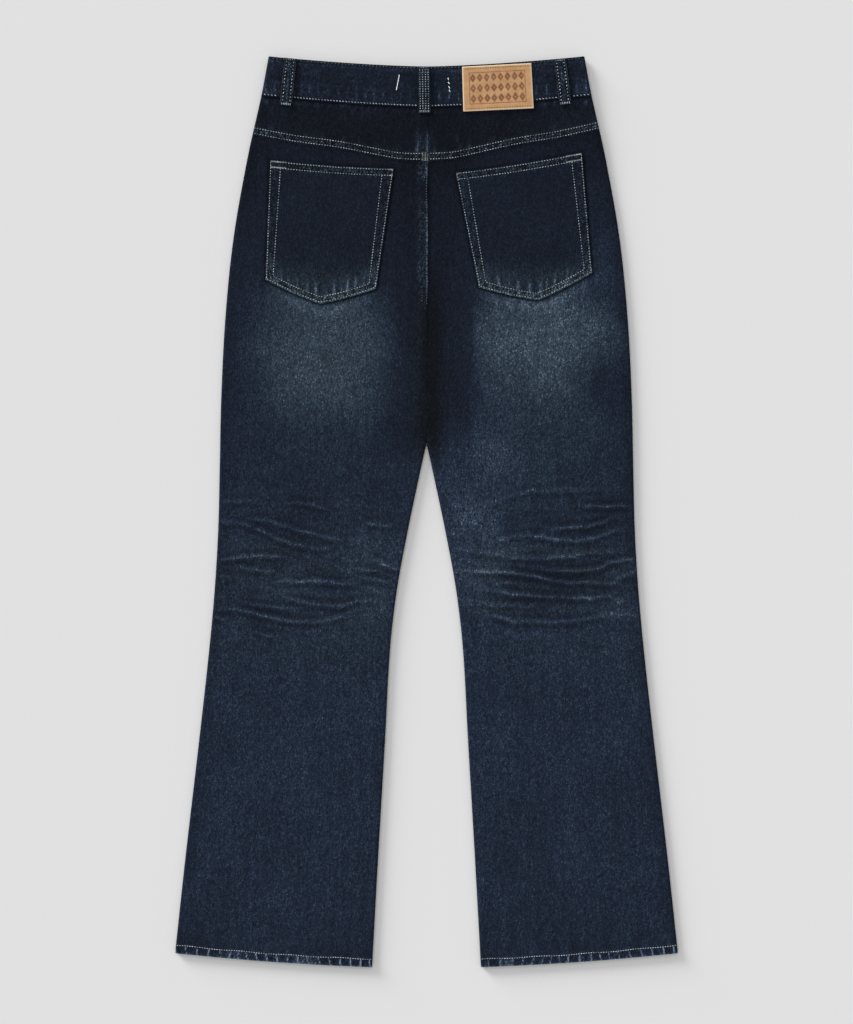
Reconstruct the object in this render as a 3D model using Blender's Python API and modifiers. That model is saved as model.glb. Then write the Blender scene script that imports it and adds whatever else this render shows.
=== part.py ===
"""Bootcut jeans laid flat on a table, back uppermost, waist towards +Y.

Every cloth piece is an open sheet of squares, placed by functions of the garment's sizes and
given its thickness by a Solidify modifier. The fronts lie on the table, the backs lie on the
fronts, and both curl towards each other to meet at the side seams and the inseams. "Left" is
the wearer's left, at -X.

All sizes in this file are in millimetres, and the meshes are made in metres.
"""
import math
from collections import namedtuple

import bmesh
import bpy

MM = 0.001

# Cloth and seams
WALL = 1.2              # one layer of denim
BAND_WALL = 2.4         # the waistband's two layers
LOOP_WALL = 1.5         # a belt loop, folded and sewn flat
PATCH_WALL = 1.3        # leather
GAP = 0.3               # between two pieces at a seam
SEAM_RAISE = 0.8        # how far a felled seam or a turned hem stands above one layer

# How the garment lies
LAY_HEIGHT = 6.0        # front and back layers and the air between them
BAND_HEIGHT = 7.2       # the same through the waistband
LIFT = 1.8              # the front loops and the button hold the waist off the table
LIFT_START = 385.0      # the cloth leaves the table here
LIFT_END = 444.0        # and has reached its full lift here

# A rounded edge: a quarter ellipse, then an upright strip that meets the other panel
EDGE_ROUND = 3.0
EDGE_STEPS = 2
SEAM_LAND = 0.4
EDGE_DROP = LAY_HEIGHT / 2 - GAP / 2 - SEAM_LAND

# Outline, half of it, seen from above
EdgePoint = namedtuple("EdgePoint", "y half_width")
SIDE_SEAM = (
    EdgePoint(519.0, 180.1),    # waist
    EdgePoint(473.0, 188.7),
    EdgePoint(402.0, 204.6),
    EdgePoint(310.0, 220.6),
    EdgePoint(219.0, 229.7),    # hip
    EdgePoint(128.0, 234.3),
    EdgePoint(48.0, 236.0),
    EdgePoint(-20.0, 237.7),    # knee
    EdgePoint(-88.0, 241.7),
    EdgePoint(-157.0, 248.0),
    EdgePoint(-260.0, 259.4),
    EdgePoint(-396.0, 275.3),
    EdgePoint(-519.0, 288.6),   # hem
)
INSEAM = (
    EdgePoint(77.8, 0.2),       # crotch
    EdgePoint(48.0, 6.8),
    EdgePoint(-20.0, 21.1),
    EdgePoint(-88.0, 33.6),
    EdgePoint(-157.0, 41.6),
    EdgePoint(-260.0, 47.3),
    EdgePoint(-396.0, 55.3),
    EdgePoint(-519.0, 62.1),    # hem
)
CROTCH = 77.8
CROTCH_BLEND = 45.0     # the centre seams sink into the inseams over this length
CURL_LEAD = 2.4         # the columns at the crotch draw together sooner than the edge curls

# Hem edge: it runs down from the side seam to the inseam, a little bowed
HEM_AT_SIDE = -503.0
HEM_DROP = 16.0
HEM_BOW = 2.0
HEM_HEIGHT = 9.5
STEP = 2.5              # length of the slope at the edge of a raised band

# Waist: each line is lowest at the centre and rises to the side
WAIST_TOP_HALF = 180.1
WAIST_SEAM_HALF = 188.7
WAIST_CORNER = 519.0
WAIST_SEAM_CORNER = 473.9
BACK_TOP_DIP = 11.5
BACK_SEAM_DIP = 13.1
FRONT_TOP_DIP = 29.0
FRONT_SEAM_DIP = 30.4
TOP_POWER = 1.5
BACK_SEAM_POWER = 1.5
FRONT_SEAM_POWER = 1.25

# Centre back: a felled seam, the left back folded over the right one
FELL_WIDTH = 9.4
FELL_EDGE = 1.5         # the folded edge lies this far to the right of the centre
FELL_FADE = 60.0        # it comes back to the centre over this length above the crotch

# Yoke seam, from the centre to the side, with a slight tilt across the back
YokePoint = namedtuple("YokePoint", "half_width y")
YOKE_SEAM = (
    YokePoint(0.0, 399.5),
    YokePoint(30.0, 400.8),
    YokePoint(50.0, 404.5),
    YokePoint(100.0, 414.9),
    YokePoint(150.0, 422.4),
    YokePoint(204.0, 433.5),
)
YOKE_TILT = 0.016
YOKE_PULL = 130.0       # the back's rows bend up to the yoke seam over this length
YOKE_FELL = 8.5

# Back pockets: five corners each
Pocket = namedtuple("Pocket", "side outer_top inner_top inner_bottom tip outer_bottom")
POCKETS = (
    Pocket("left", (-178.4, 401.0), (-37.1, 391.3), (-57.6, 254.5), (-121.4, 237.4),
           (-183.5, 264.8)),
    Pocket("right", (177.3, 409.5), (33.1, 386.7), (59.9, 256.2), (127.1, 241.4),
           (188.7, 272.7)),
)
POCKET_HEM = 10.0
POCKET_HEM_RAISE = 0.5

# Knee creases, pressed in by wear, from their outer end to their inner end
Crease = namedtuple("Crease", "side x_start x_end y_start y_middle y_end height")
CREASES = (
    Crease("left", -236, -50, 9, 6, -18, 0.9),
    Crease("left", -236, -144, -11, -20, -37, 0.8),
    Crease("left", -173, -96, -10, -25, -33, 0.7),
    Crease("left", -234, -158, -58, -51, -52, 0.9),
    Crease("left", -176, -42, -83, -79, -86, 0.9),
    Crease("left", -239, -108, -112, -121, -125, 0.9),
    Crease("right", 205, 45, 26, 22, 6, 0.8),
    Crease("right", 234, 140, 5, -16, -19, 0.7),
    Crease("right", 234, 30, -43, -55, -53, 1.0),
    Crease("right", 241, 34, -86, -96, -85, 1.0),
    Crease("right", 241, 70, -116, -125, -117, 0.8),
)
CREASE_REACH = 6.5      # half the breadth of a crease's crest
CREASE_TROUGH = 0.6     # depth of the trough below it, against its height
TROUGH_OFFSET = 1.5     # from crest to trough, in reaches
CREASE_FADE = 0.6       # power of the fade towards a crease's ends
CREASE_KEEP_OFF = 14.0  # creases fade over this width beside a seam

# Front: scoop pockets and fly
SCOOP_WIDTH = 85.0      # along the waistband seam, from the side
SCOOP_DEPTH = 75.0      # down the side seam
SCOOP_STEPS = 8
FACING_LAP = 18.0       # how far the facing reaches in under the front
FACING_SLOPE = 11.0
FACING_CLEAR = 3.0
FACING_LOW = 2.0        # the facing's lower edge, above the foot of the scoop
FLY_EDGE = 8.0          # the fly's edge lies to the right of the centre
FLY_WIDTH = 40.0
FLY_LENGTH = 160.0
FLY_CURVE = 48.0        # height of the curved foot
FLY_CURVE_ROWS = 6
FLY_STRAIGHT_ROWS = 9
FLY_FADE = 60.0
CUT_DEPTH = 30.0

# Belt loops: middle of the top end and of the foot
Loop = namedtuple("Loop", "name face top_x top_y foot_x foot_y")
LOOPS = (
    Loop("loop_back_left", "back", -154.7, 516.4, -160.2, 462.6),
    Loop("loop_back_centre", "back", -2.9, 507.0, -2.3, 454.0),
    Loop("loop_back_right", "back", 151.9, 515.4, 158.1, 463.7),
    Loop("loop_front_left", "front", -94.0, 499.0, -95.0, 448.0),
    Loop("loop_front_right", "front", 94.0, 499.0, 95.0, 448.0),
)
LOOP_WIDTH = 14.0
LoopRow = namedtuple("LoopRow", "along stand_off")
BACK_LOOP_ROWS = (
    LoopRow(0.0, 0.0),
    LoopRow(0.12, 0.2),
    LoopRow(0.3, 1.1),
    LoopRow(0.5, 1.5),
    LoopRow(0.7, 1.0),
    LoopRow(0.84, 0.0),
    LoopRow(1.0, -0.35),
)
FRONT_LOOP_ROWS = (LoopRow(0.0, 0.0), LoopRow(0.5, 0.0), LoopRow(1.0, 0.0))

# Patch on the waistband: four corners
PATCH_CORNERS = {
    "top_left": (40.5, 506.8),
    "top_right": (119.2, 511.0),
    "bottom_left": (42.0, 455.9),
    "bottom_right": (122.0, 459.6),
}

# Waist button
BUTTON_RADIUS = 8.5
BUTTON_HEIGHT = 1.5
BUTTON_ROUND = 0.5
BUTTON_X = -6.0
BUTTON_Y = 467.0

# Rows of squares down a leg: from, to, number
RowBand = namedtuple("RowBand", "start end count")
BACK_ROWS = (
    RowBand(-470.0, -165.0, 7),
    RowBand(-165.0, 45.0, 30),
    RowBand(45.0, 125.0, 6),
    RowBand(125.0, 375.0, 6),
    RowBand(375.0, 400.0, 3),
)
FRONT_ROWS = (
    RowBand(-470.0, 45.0, 9),
    RowBand(45.0, 125.0, 6),
    RowBand(125.0, 380.0, 5),
    RowBand(380.0, 443.0, 6),
)
BACK_SPANS = 8          # squares across the flat of a panel
FRONT_SPANS = 5
HEM_BLEND = 48.0        # the rows bend to the hem edge over this length
HEM_FOLLOW = 0.6        # and the lowest one follows this much of its slope
SETTLE_ROUNDS = 5       # x and y of a point on a sloping row depend on each other

# Colours: red, green, blue, then roughness and metallic
Finish = namedtuple("Finish", "red green blue roughness metallic")
DENIM = Finish(0.015, 0.021, 0.038, 0.9, 0.0)
DENIM_TOP = Finish(0.010, 0.014, 0.024, 0.9, 0.0)
LEATHER = Finish(0.43, 0.23, 0.11, 0.6, 0.0)
BRASS = Finish(0.42, 0.30, 0.16, 0.4, 1.0)


def smoothstep(low, high, value):
    """0 below low, 1 above high, and an even ease between them."""
    t = min(1.0, max(0.0, (value - low) / (high - low)))
    return t * t * (3.0 - 2.0 * t)


def mix(a, b, t):
    return a + (b - a) * t


def on_curve(points, position):
    """Value at a position on a smooth curve through (position, value) points."""
    points = sorted((point[0], point[1]) for point in points)
    position = min(points[-1][0], max(points[0][0], position))
    last = len(points) - 1
    index = 0
    while index < last - 1 and points[index + 1][0] < position:
        index += 1

    def slope(i):
        low, high = max(0, i - 1), min(last, i + 1)
        return (points[high][1] - points[low][1]) / (points[high][0] - points[low][0])

    (x0, y0), (x1, y1) = points[index], points[index + 1]
    span = x1 - x0
    t = (position - x0) / span
    return ((2 * t**3 - 3 * t**2 + 1) * y0 + (t**3 - 2 * t**2 + t) * span * slope(index)
            + (3 * t**2 - 2 * t**3) * y1 + (t**3 - t**2) * span * slope(index + 1))


# ---- The garment's lines ----

def side_edge(y):
    return on_curve(SIDE_SEAM, y)


def lift(y):
    """Height of the whole stack above the table, near the waist."""
    return LIFT * smoothstep(LIFT_START, LIFT_END, y)


def rising_line(corner, dip, half, power, x):
    return corner - dip + dip * min(1.0, abs(x) / half) ** power


def back_top(x):
    return rising_line(WAIST_CORNER, BACK_TOP_DIP, WAIST_TOP_HALF, TOP_POWER, x)


def back_seam(x):
    return rising_line(WAIST_SEAM_CORNER, BACK_SEAM_DIP, WAIST_SEAM_HALF, BACK_SEAM_POWER, x)


def front_top(x):
    return rising_line(WAIST_CORNER, FRONT_TOP_DIP, WAIST_TOP_HALF, TOP_POWER, x)


def front_seam(x):
    return rising_line(WAIST_SEAM_CORNER, FRONT_SEAM_DIP, WAIST_SEAM_HALF, FRONT_SEAM_POWER, x)


def yoke_seam(x):
    return on_curve(YOKE_SEAM, abs(x)) + YOKE_TILT * x


def hem_edge(across):
    """Hem height, across = 0 at the side seam and 1 at the inseam."""
    return HEM_AT_SIDE - HEM_DROP * across - HEM_BOW * math.sin(math.pi * across)


def hem_share(x):
    """How far across a leg's hem x lies: 0 at the side seam and 1 at the inseam."""
    outer = side_edge(HEM_AT_SIDE)
    inner = on_curve(INSEAM, HEM_AT_SIDE)
    return min(1.0, max(0.0, (outer - abs(x)) / (outer - inner)))


def centre_line(face, y):
    """X of the visible centre seam above the crotch."""
    if face == "back":
        return FELL_EDGE * smoothstep(CROTCH, CROTCH + FELL_FADE, y)
    fly_foot = front_seam(0.0) - FLY_LENGTH
    return FLY_EDGE * smoothstep(fly_foot - FLY_FADE, fly_foot - 2.0, y)


def inner_edge(face, side, y):
    """Distance from the middle to a panel's inner edge, on that panel's own side."""
    if y < CROTCH:
        return on_curve(INSEAM, y)
    return GAP / 2 + side * centre_line(face, y)


def inseam_curl(y):
    """0 where a panel lies flat up to the centre seam, 1 where its inner edge curls over."""
    above = min(1.0, max(0.0, (y - CROTCH) / CROTCH_BLEND))
    return (1.0 - above) ** 2


def crease_relief(side_name, x, y):
    total = 0.0
    for crease in CREASES:
        if crease.side != side_name:
            continue
        along = (x - crease.x_start) / (crease.x_end - crease.x_start)
        if not 0.0 < along < 1.0:
            continue
        line = (crease.y_start * (1 - along) * (1 - 2 * along)
                + crease.y_middle * 4 * along * (1 - along)
                + crease.y_end * along * (2 * along - 1))
        off = (y - line) / CREASE_REACH
        shape = math.exp(-off**2) - CREASE_TROUGH * math.exp(-(off + TROUGH_OFFSET)**2)
        total += crease.height * shape * math.sin(math.pi * along) ** CREASE_FADE
    return total


# ---- Sheets of squares ----

def make_collection(name):
    collection = bpy.data.collections.new(name)
    bpy.context.scene.collection.children.link(collection)
    return collection


def make_finish(name, finish):
    material = bpy.data.materials.new(name)
    material.use_nodes = True
    shader = material.node_tree.nodes["Principled BSDF"]
    shader.inputs["Base Color"].default_value = (finish.red, finish.green, finish.blue, 1.0)
    shader.inputs["Roughness"].default_value = finish.roughness
    shader.inputs["Metallic"].default_value = finish.metallic
    return material


def add_object(name, mesh, finish):
    mesh.materials.append(make_finish(name + "_finish", finish))
    piece = bpy.data.objects.new(name, mesh)
    garment.objects.link(piece)
    return piece


def sheet(name, columns, rows, place, wall, outward, finish):
    """A cloth piece: a grid whose corners place(column, row) puts on the outer face.

    outward is +1 where that face looks up and -1 where it looks down at the table.
    """
    grid = bmesh.new()
    bmesh.ops.create_grid(grid, x_segments=columns, y_segments=rows, size=0.5)
    for corner in grid.verts:
        column = round((corner.co.x + 0.5) * columns)
        row = round((corner.co.y + 0.5) * rows)
        corner.co = [value * MM for value in place(column, row)]
    grid.normal_update()
    highest = max(grid.faces, key=lambda face: outward * face.calc_center_median().z)
    if highest.normal.z * outward < 0:
        bmesh.ops.reverse_faces(grid, faces=grid.faces)
    mesh = bpy.data.meshes.new(name)
    grid.to_mesh(mesh)
    grid.free()
    mesh.shade_smooth()
    piece = add_object(name, mesh, finish)
    thickness = piece.modifiers.new("Wall", "SOLIDIFY")
    thickness.thickness = wall * MM
    thickness.offset = -1.0
    thickness.use_even_offset = True
    thickness.use_quality_normals = True
    return piece


def cut(piece, name, outline):
    """Cut an upright prism with the given outline out of a piece."""
    curve = bpy.data.curves.new(name, "CURVE")
    curve.dimensions = "2D"
    curve.fill_mode = "BOTH"
    curve.extrude = CUT_DEPTH * MM
    spline = curve.splines.new("POLY")
    spline.points.add(len(outline) - 1)
    for point, (x, y) in zip(spline.points, outline):
        point.co = (x * MM, y * MM, 0.0, 1.0)
    spline.use_cyclic_u = True
    guide = bpy.data.objects.new(name + "_outline", curve)
    cutters.objects.link(guide)
    evaluated = guide.evaluated_get(bpy.context.evaluated_depsgraph_get())
    mesh = bpy.data.meshes.new_from_object(evaluated)
    bpy.data.objects.remove(guide)
    welded = bmesh.new()
    welded.from_mesh(mesh)
    bmesh.ops.remove_doubles(welded, verts=welded.verts, dist=0.0001 * MM)
    bmesh.ops.recalc_face_normals(welded, faces=welded.faces)
    welded.to_mesh(mesh)
    welded.free()
    cutter = bpy.data.objects.new(name, mesh)
    cutter.hide_render = True
    cutter.display_type = "WIRE"
    cutters.objects.link(cutter)
    boolean = piece.modifiers.new(name, "BOOLEAN")
    boolean.operation = "DIFFERENCE"
    boolean.solver = "EXACT"
    boolean.object = cutter


# ---- Panels ----

def rounded_edge():
    """(way in from the edge, drop from the flat) of each column, from the seam inwards."""
    columns = [(0.0, EDGE_DROP + SEAM_LAND)]
    for step in range(EDGE_STEPS + 1):
        angle = math.pi / 2 * (1 - step / EDGE_STEPS)
        columns.append((EDGE_ROUND * (1 - math.sin(angle)), EDGE_DROP * (1 - math.cos(angle))))
    return columns


EDGE = rounded_edge()
FLAT_EDGE = (0.0, FELL_WIDTH / 2, FELL_WIDTH, FELL_WIDTH + STEP)    # columns beside the fell


def panel_column(face, side, y, column, spans):
    """Way across, drop and share of the centre fell of one column of a panel at height y."""
    outer = side_edge(y)
    inner = inner_edge(face, side, y)
    last = 2 * len(EDGE) + spans - 2
    curl = inseam_curl(y)
    settle = min(1.0, CURL_LEAD * curl)
    if column < len(EDGE):
        way_in, drop = EDGE[column]
        return outer - way_in, drop, 0.0
    if column > last - len(EDGE):
        step = last - column
        way_in, drop = EDGE[step]
        fell = (1.0 - curl) if step < len(EDGE) - 1 else 0.0
        return inner + mix(FLAT_EDGE[step], way_in, settle), drop * curl, fell
    flat_outer = outer - EDGE[-1][0]
    flat_inner = inner + mix(FLAT_EDGE[-1], EDGE[-1][0], settle)
    share = (column - len(EDGE) + 1) / spans
    return mix(flat_outer, flat_inner, share), 0.0, 0.0


def on_row(face, side, column, spans, row_height):
    """Height at which a column crosses a row whose height depends on x."""
    y = row_height(0.0)
    for _ in range(SETTLE_ROUNDS):
        y = row_height(side * panel_column(face, side, y, column, spans)[0])
    return y


def panel_point(face, side, y, column, spans, relief):
    """A point of a panel's outer face; relief(x, y) is what stands above the flat."""
    across, drop, fell = panel_column(face, side, y, column, spans)
    x = side * across
    if face == "front":
        return x, y, drop + lift(y)
    flatness = (1.0 - drop / (EDGE_DROP + SEAM_LAND)) ** 2
    centre = SEAM_RAISE * fell if side < 0 else 0.0
    raised = max(centre, relief(x, y))
    return x, y, LAY_HEIGHT - drop + raised * flatness + lift(y)


def leg_rows(bands):
    """Heights of a panel's rows above the hem band, without the last one."""
    heights = []
    for band in bands:
        for step in range(band.count):
            heights.append(mix(band.start, band.end, step / band.count))
    return heights


HEM_STEPS = (0.0, HEM_HEIGHT, HEM_HEIGHT + STEP)


def leg_height(heights, top, row, x):
    """Height of a point in a row: along the hem, then level, then up to the top seam."""
    across = hem_share(x)
    if row < len(HEM_STEPS):
        return hem_edge(across) + HEM_STEPS[row]
    row -= len(HEM_STEPS)
    centre_top = top(0.0) - GAP
    if row == len(heights):
        return top(x) - GAP
    level = heights[row]
    if level < heights[0] + HEM_BLEND:
        share = 1.0 - (level - heights[0]) / HEM_BLEND
        middle = hem_edge(0.5)
        level += (hem_edge(across) - middle) * share * HEM_FOLLOW
    pull = smoothstep(centre_top - YOKE_PULL, centre_top, level)
    return level + (top(x) - top(0.0)) * pull


def leg_panel(face, side_name, side, bands, spans, top):
    heights = leg_rows(bands)
    rows = len(HEM_STEPS) + len(heights)
    columns = 2 * len(EDGE) + spans - 2

    def relief(x, y):
        from_side = side_edge(y) - abs(x)
        from_inner = abs(x) - inner_edge(face, side, y)
        fade = (smoothstep(0.0, CREASE_KEEP_OFF, from_side)
                * smoothstep(0.0, CREASE_KEEP_OFF, from_inner))
        return crease_relief(side_name, x, y) * fade

    def place(column, row):
        def row_height(x):
            return leg_height(heights, top, row, x)

        y = on_row(face, side, column, spans, row_height)
        if row <= 1:
            return panel_point(face, side, y, column, spans, lambda x, y: SEAM_RAISE)
        return panel_point(face, side, y, column, spans, relief)

    outward = 1 if face == "back" else -1
    return sheet(face + "_" + side_name, columns, rows, place, WALL, outward, DENIM)


def yoke(side_name, side):
    """The shaped piece between the waistband and the back, its lower edge folded over it."""
    steps = (0.0, YOKE_FELL, YOKE_FELL + STEP)
    upper_rows = 4
    columns = 2 * len(EDGE) + BACK_SPANS - 2

    def place(column, row):
        def row_height(x):
            if row < len(steps):
                return yoke_seam(x) + steps[row]
            share = (row - len(steps) + 1) / upper_rows
            return mix(yoke_seam(x) + steps[-1], back_seam(x) - GAP, share)

        y = on_row("back", side, column, BACK_SPANS, row_height)
        raised = SEAM_RAISE if row <= 1 else 0.0
        return panel_point("back", side, y, column, BACK_SPANS, lambda x, y: raised)

    rows = len(steps) - 1 + upper_rows
    return sheet("yoke_" + side_name, columns, rows, place, WALL, 1, DENIM_TOP)


def pocket(shape):
    """A patch pocket on the back: straight sides and a pointed foot."""
    rows = 5
    columns = 6
    hem = (0.0, POCKET_HEM, POCKET_HEM + STEP)

    def place(column, row):
        share = column / columns
        top = [mix(a, b, share) for a, b in zip(shape.outer_top, shape.inner_top)]
        if share <= 0.5:
            start, end, part = shape.outer_bottom, shape.tip, share * 2
        else:
            start, end, part = shape.tip, shape.inner_bottom, share * 2 - 1
        bottom = [mix(a, b, part) for a, b in zip(start, end)]
        length = math.dist(top, bottom)
        if row < len(hem):
            down = hem[row] / length
        else:
            down = mix(hem[-1] / length, 1.0, (row - len(hem) + 1) / (rows - len(hem) + 1))
        x, y = (mix(a, b, down) for a, b in zip(top, bottom))
        raised = POCKET_HEM_RAISE if row <= 1 else 0.0
        return x, y, LAY_HEIGHT + GAP + WALL + raised + lift(y)

    return sheet("pocket_" + shape.side, columns, rows, place, WALL, 1, DENIM)


# ---- Front details ----

def scoop_way_in(y):
    """Distance from the side edge to the scoop's edge at height y."""
    down = min(1.0, max(0.0, (WAIST_SEAM_CORNER - y) / SCOOP_DEPTH))
    return SCOOP_WIDTH * math.sqrt(1.0 - down**2)


def scoop_outline(side):
    """The cloth cut away at a front pocket: its curved edge, then the corner outside it."""
    foot = WAIST_SEAM_CORNER - SCOOP_DEPTH
    outline = []
    for step in range(SCOOP_STEPS + 1):
        angle = math.pi / 2 * step / SCOOP_STEPS
        y = WAIST_SEAM_CORNER - SCOOP_DEPTH * math.sin(angle)
        outline.append((side * (side_edge(y) - SCOOP_WIDTH * math.cos(angle)), y))
    far = side_edge(foot) + EDGE_ROUND
    outline.append((side * far, foot))
    outline.append((side * far, WAIST_SEAM_CORNER + EDGE_ROUND))
    outline.append((outline[0][0], WAIST_SEAM_CORNER + EDGE_ROUND))
    return outline


def facing(side_name, side):
    """The pocket facing: level with the front at the side seam, then in under its scoop."""
    foot = WAIST_SEAM_CORNER - SCOOP_DEPTH
    low_rows = (FACING_LOW, 4.0, 6.5, 10.0, 15.0, 24.0, 38.0)
    upper_rows = 3
    tuck = WALL + GAP

    def place(column, row):
        if row < len(low_rows):
            level = foot + low_rows[row]
        else:
            level = mix(foot + low_rows[-1], WAIST_SEAM_CORNER,
                        (row - len(low_rows) + 1) / upper_rows)
        pull = smoothstep(foot, WAIST_SEAM_CORNER, level)
        y = level
        for _ in range(SETTLE_ROUNDS):
            scoop = scoop_way_in(y)
            ways = [way for way, _ in EDGE]
            ways += [scoop - FACING_CLEAR - FACING_SLOPE, scoop - FACING_CLEAR,
                     scoop + FACING_LAP]
            across = side_edge(y) - ways[column]
            y = level + (front_seam(across) - GAP - WAIST_SEAM_CORNER) * pull
        drops = [drop for _, drop in EDGE] + [0.0, tuck, tuck]
        return side * across, y, drops[column] + lift(y)

    columns = len(EDGE) + 2
    rows = len(low_rows) - 1 + upper_rows
    return sheet("facing_" + side_name, columns, rows, place, WALL, -1, DENIM_TOP)


def fly_way(y, grow):
    """Distance from the fly's edge to its curved seam at height y, grown by a margin."""
    foot = front_seam(0.0) - FLY_LENGTH - grow
    height = FLY_CURVE + grow
    up = min(1.0, max(0.0, (y - foot) / height))
    return (FLY_WIDTH + grow) * math.sqrt(1.0 - (1.0 - up)**2)


def fly_rows():
    """Heights of the fly's rows: close together round its foot, then even."""
    foot = front_seam(0.0) - FLY_LENGTH
    heights = []
    for step in range(1, FLY_CURVE_ROWS + 1):
        angle = math.pi / 2 * step / FLY_CURVE_ROWS
        heights.append(foot + FLY_CURVE * (1 - math.cos(angle)))
    for step in range(1, FLY_STRAIGHT_ROWS + 1):
        share = step / FLY_STRAIGHT_ROWS
        heights.append(mix(foot + FLY_CURVE, front_seam(0.0) - GAP, share))
    return heights


def fly():
    """The fly front: a J-shaped piece let into the left front beside the centre."""
    heights = fly_rows()
    columns = 3

    def place(column, row):
        y = heights[row]
        edge = centre_line("front", y) - GAP / 2
        x = edge - fly_way(y, 0.0) * (1 - column / columns)
        y += (front_seam(x) - front_seam(0.0)) * smoothstep(heights[FLY_CURVE_ROWS], heights[-1], y)
        return x, y, lift(y)

    return sheet("fly", columns, len(heights) - 1, place, WALL, -1, DENIM_TOP)


def fly_outline():
    """The place of the fly in the left front, a seam's gap larger than the piece."""
    points = []
    for y in fly_rows()[:FLY_CURVE_ROWS + 1]:
        edge = centre_line("front", y) - GAP / 2
        points.append((edge - fly_way(y, GAP), y))
    top = front_seam(0.0) + FLY_CURVE
    right = FLY_EDGE + FLY_WIDTH
    foot = front_seam(0.0) - FLY_LENGTH - GAP
    points.append((points[-1][0], top))
    points.append((right, top))
    points.append((right, foot))
    return points


# ---- Waist ----

def waistband():
    """One strip from the fly's edge round the left side, the back and the right side."""
    flat_back = 12
    flat_front = 6
    fold_steps = 4
    rows = 3
    half_height = BAND_HEIGHT / 2

    stations = []
    for step in range(flat_front + 1):
        stations.append(("front", -1, step / flat_front, 0.0))
    for step in range(1, fold_steps):
        stations.append(("fold", -1, 1.0, step / fold_steps))
    for step in range(flat_back + 1):
        stations.append(("back", 0, 2 * step / flat_back - 1, 0.0))
    for step in range(1, fold_steps):
        stations.append(("fold", 1, 1.0, 1 - step / fold_steps))
    for step in range(flat_front + 1):
        stations.append(("front", 1, 1 - step / flat_front, 0.0))

    def place(column, row):
        part, side, along, turn = stations[column]
        up = row / rows
        flat_half = side_edge(mix(WAIST_SEAM_CORNER, WAIST_CORNER, up)) - EDGE_ROUND
        if part == "back":
            x = along * flat_half
            y = mix(back_seam(x), back_top(x), up)
            z = BAND_HEIGHT
        elif part == "front":
            start = FLY_EDGE + side * GAP / 2
            x = mix(start, side * flat_half, along)
            y = mix(front_seam(x), front_top(x), up)
            z = 0.0
        else:
            angle = math.pi * turn
            x = side * (flat_half + EDGE_ROUND * math.sin(angle))
            y = mix(WAIST_SEAM_CORNER, WAIST_CORNER, up)
            z = half_height * (1 - math.cos(angle))
        return x, y, z + LIFT

    return sheet("waistband", len(stations) - 1, rows, place, BAND_WALL, 1, DENIM_TOP)


def belt_loop(loop):
    """A narrow strip over the waistband, sewn down at its top and at its foot."""
    table = BACK_LOOP_ROWS if loop.face == "back" else FRONT_LOOP_ROWS
    length = math.dist((loop.top_x, loop.top_y), (loop.foot_x, loop.foot_y))
    across = ((loop.top_y - loop.foot_y) / length, (loop.foot_x - loop.top_x) / length)
    columns = 2

    def place(column, row):
        line = table[row]
        sideways = (column / columns - 0.5) * LOOP_WIDTH
        x = mix(loop.top_x, loop.foot_x, line.along) + across[0] * sideways
        y = mix(loop.top_y, loop.foot_y, line.along) + across[1] * sideways
        if loop.face == "front":
            return x, y, 0.0
        return x, y, LIFT + BAND_HEIGHT + GAP + LOOP_WALL + line.stand_off

    outward = 1 if loop.face == "back" else -1
    return sheet(loop.name, columns, len(table) - 1, place, LOOP_WALL, outward, DENIM)


def patch():
    """A leather label blank, sewn on the waistband and reaching just past its seam."""
    columns = 4
    rows = 3

    def place(column, row):
        share = column / columns
        top = [mix(a, b, share) for a, b in zip(PATCH_CORNERS["top_left"],
                                                PATCH_CORNERS["top_right"])]
        bottom = [mix(a, b, share) for a, b in zip(PATCH_CORNERS["bottom_left"],
                                                   PATCH_CORNERS["bottom_right"])]
        x, y = (mix(a, b, row / rows) for a, b in zip(top, bottom))
        return x, y, LIFT + BAND_HEIGHT + GAP + PATCH_WALL

    return sheet("patch", columns, rows, place, PATCH_WALL, 1, LEATHER)


def button():
    """The cap of the waist button, turned, lying on the table under the waistband."""
    steps = 3
    outline = [(0.0, BUTTON_HEIGHT)]
    for step in range(steps + 1):
        angle = math.pi / 2 * step / steps
        outline.append((BUTTON_RADIUS - BUTTON_ROUND * (1 - math.sin(angle)),
                        BUTTON_HEIGHT - BUTTON_ROUND * (1 - math.cos(angle))))
    outline.append((BUTTON_RADIUS, BUTTON_ROUND))
    outline.append((BUTTON_RADIUS - BUTTON_ROUND, 0.0))
    outline.append((0.0, 0.0))
    profile = bmesh.new()
    corners = [profile.verts.new((x * MM, 0.0, z * MM)) for x, z in outline]
    for first, second in zip(corners, corners[1:]):
        profile.edges.new((first, second))
    mesh = bpy.data.meshes.new("button")
    profile.to_mesh(mesh)
    profile.free()
    piece = add_object("button", mesh, BRASS)
    piece.location = (BUTTON_X * MM, BUTTON_Y * MM, 0.0)
    turn = piece.modifiers.new("Turned", "SCREW")
    turn.steps = 24
    turn.render_steps = 24
    turn.use_merge_vertices = True
    turn.merge_threshold = 0.00001
    turn.use_normal_calculate = True
    return piece


for leftover in list(bpy.data.objects):
    bpy.data.objects.remove(leftover)
garment = make_collection("bootcut_jeans")
cutters = make_collection("cutters")

for side_name, side in (("left", -1), ("right", 1)):
    front = leg_panel("front", side_name, side, FRONT_ROWS, FRONT_SPANS, front_seam)
    cut(front, "scoop_cut_" + side_name, scoop_outline(side))
    if side_name == "left":
        cut(front, "fly_cut", fly_outline())
    facing(side_name, side)
    leg_panel("back", side_name, side, BACK_ROWS, BACK_SPANS, yoke_seam)
    yoke(side_name, side)
fly()
for shape in POCKETS:
    pocket(shape)
waistband()
for loop in LOOPS:
    belt_loop(loop)
patch()
button()
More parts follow.
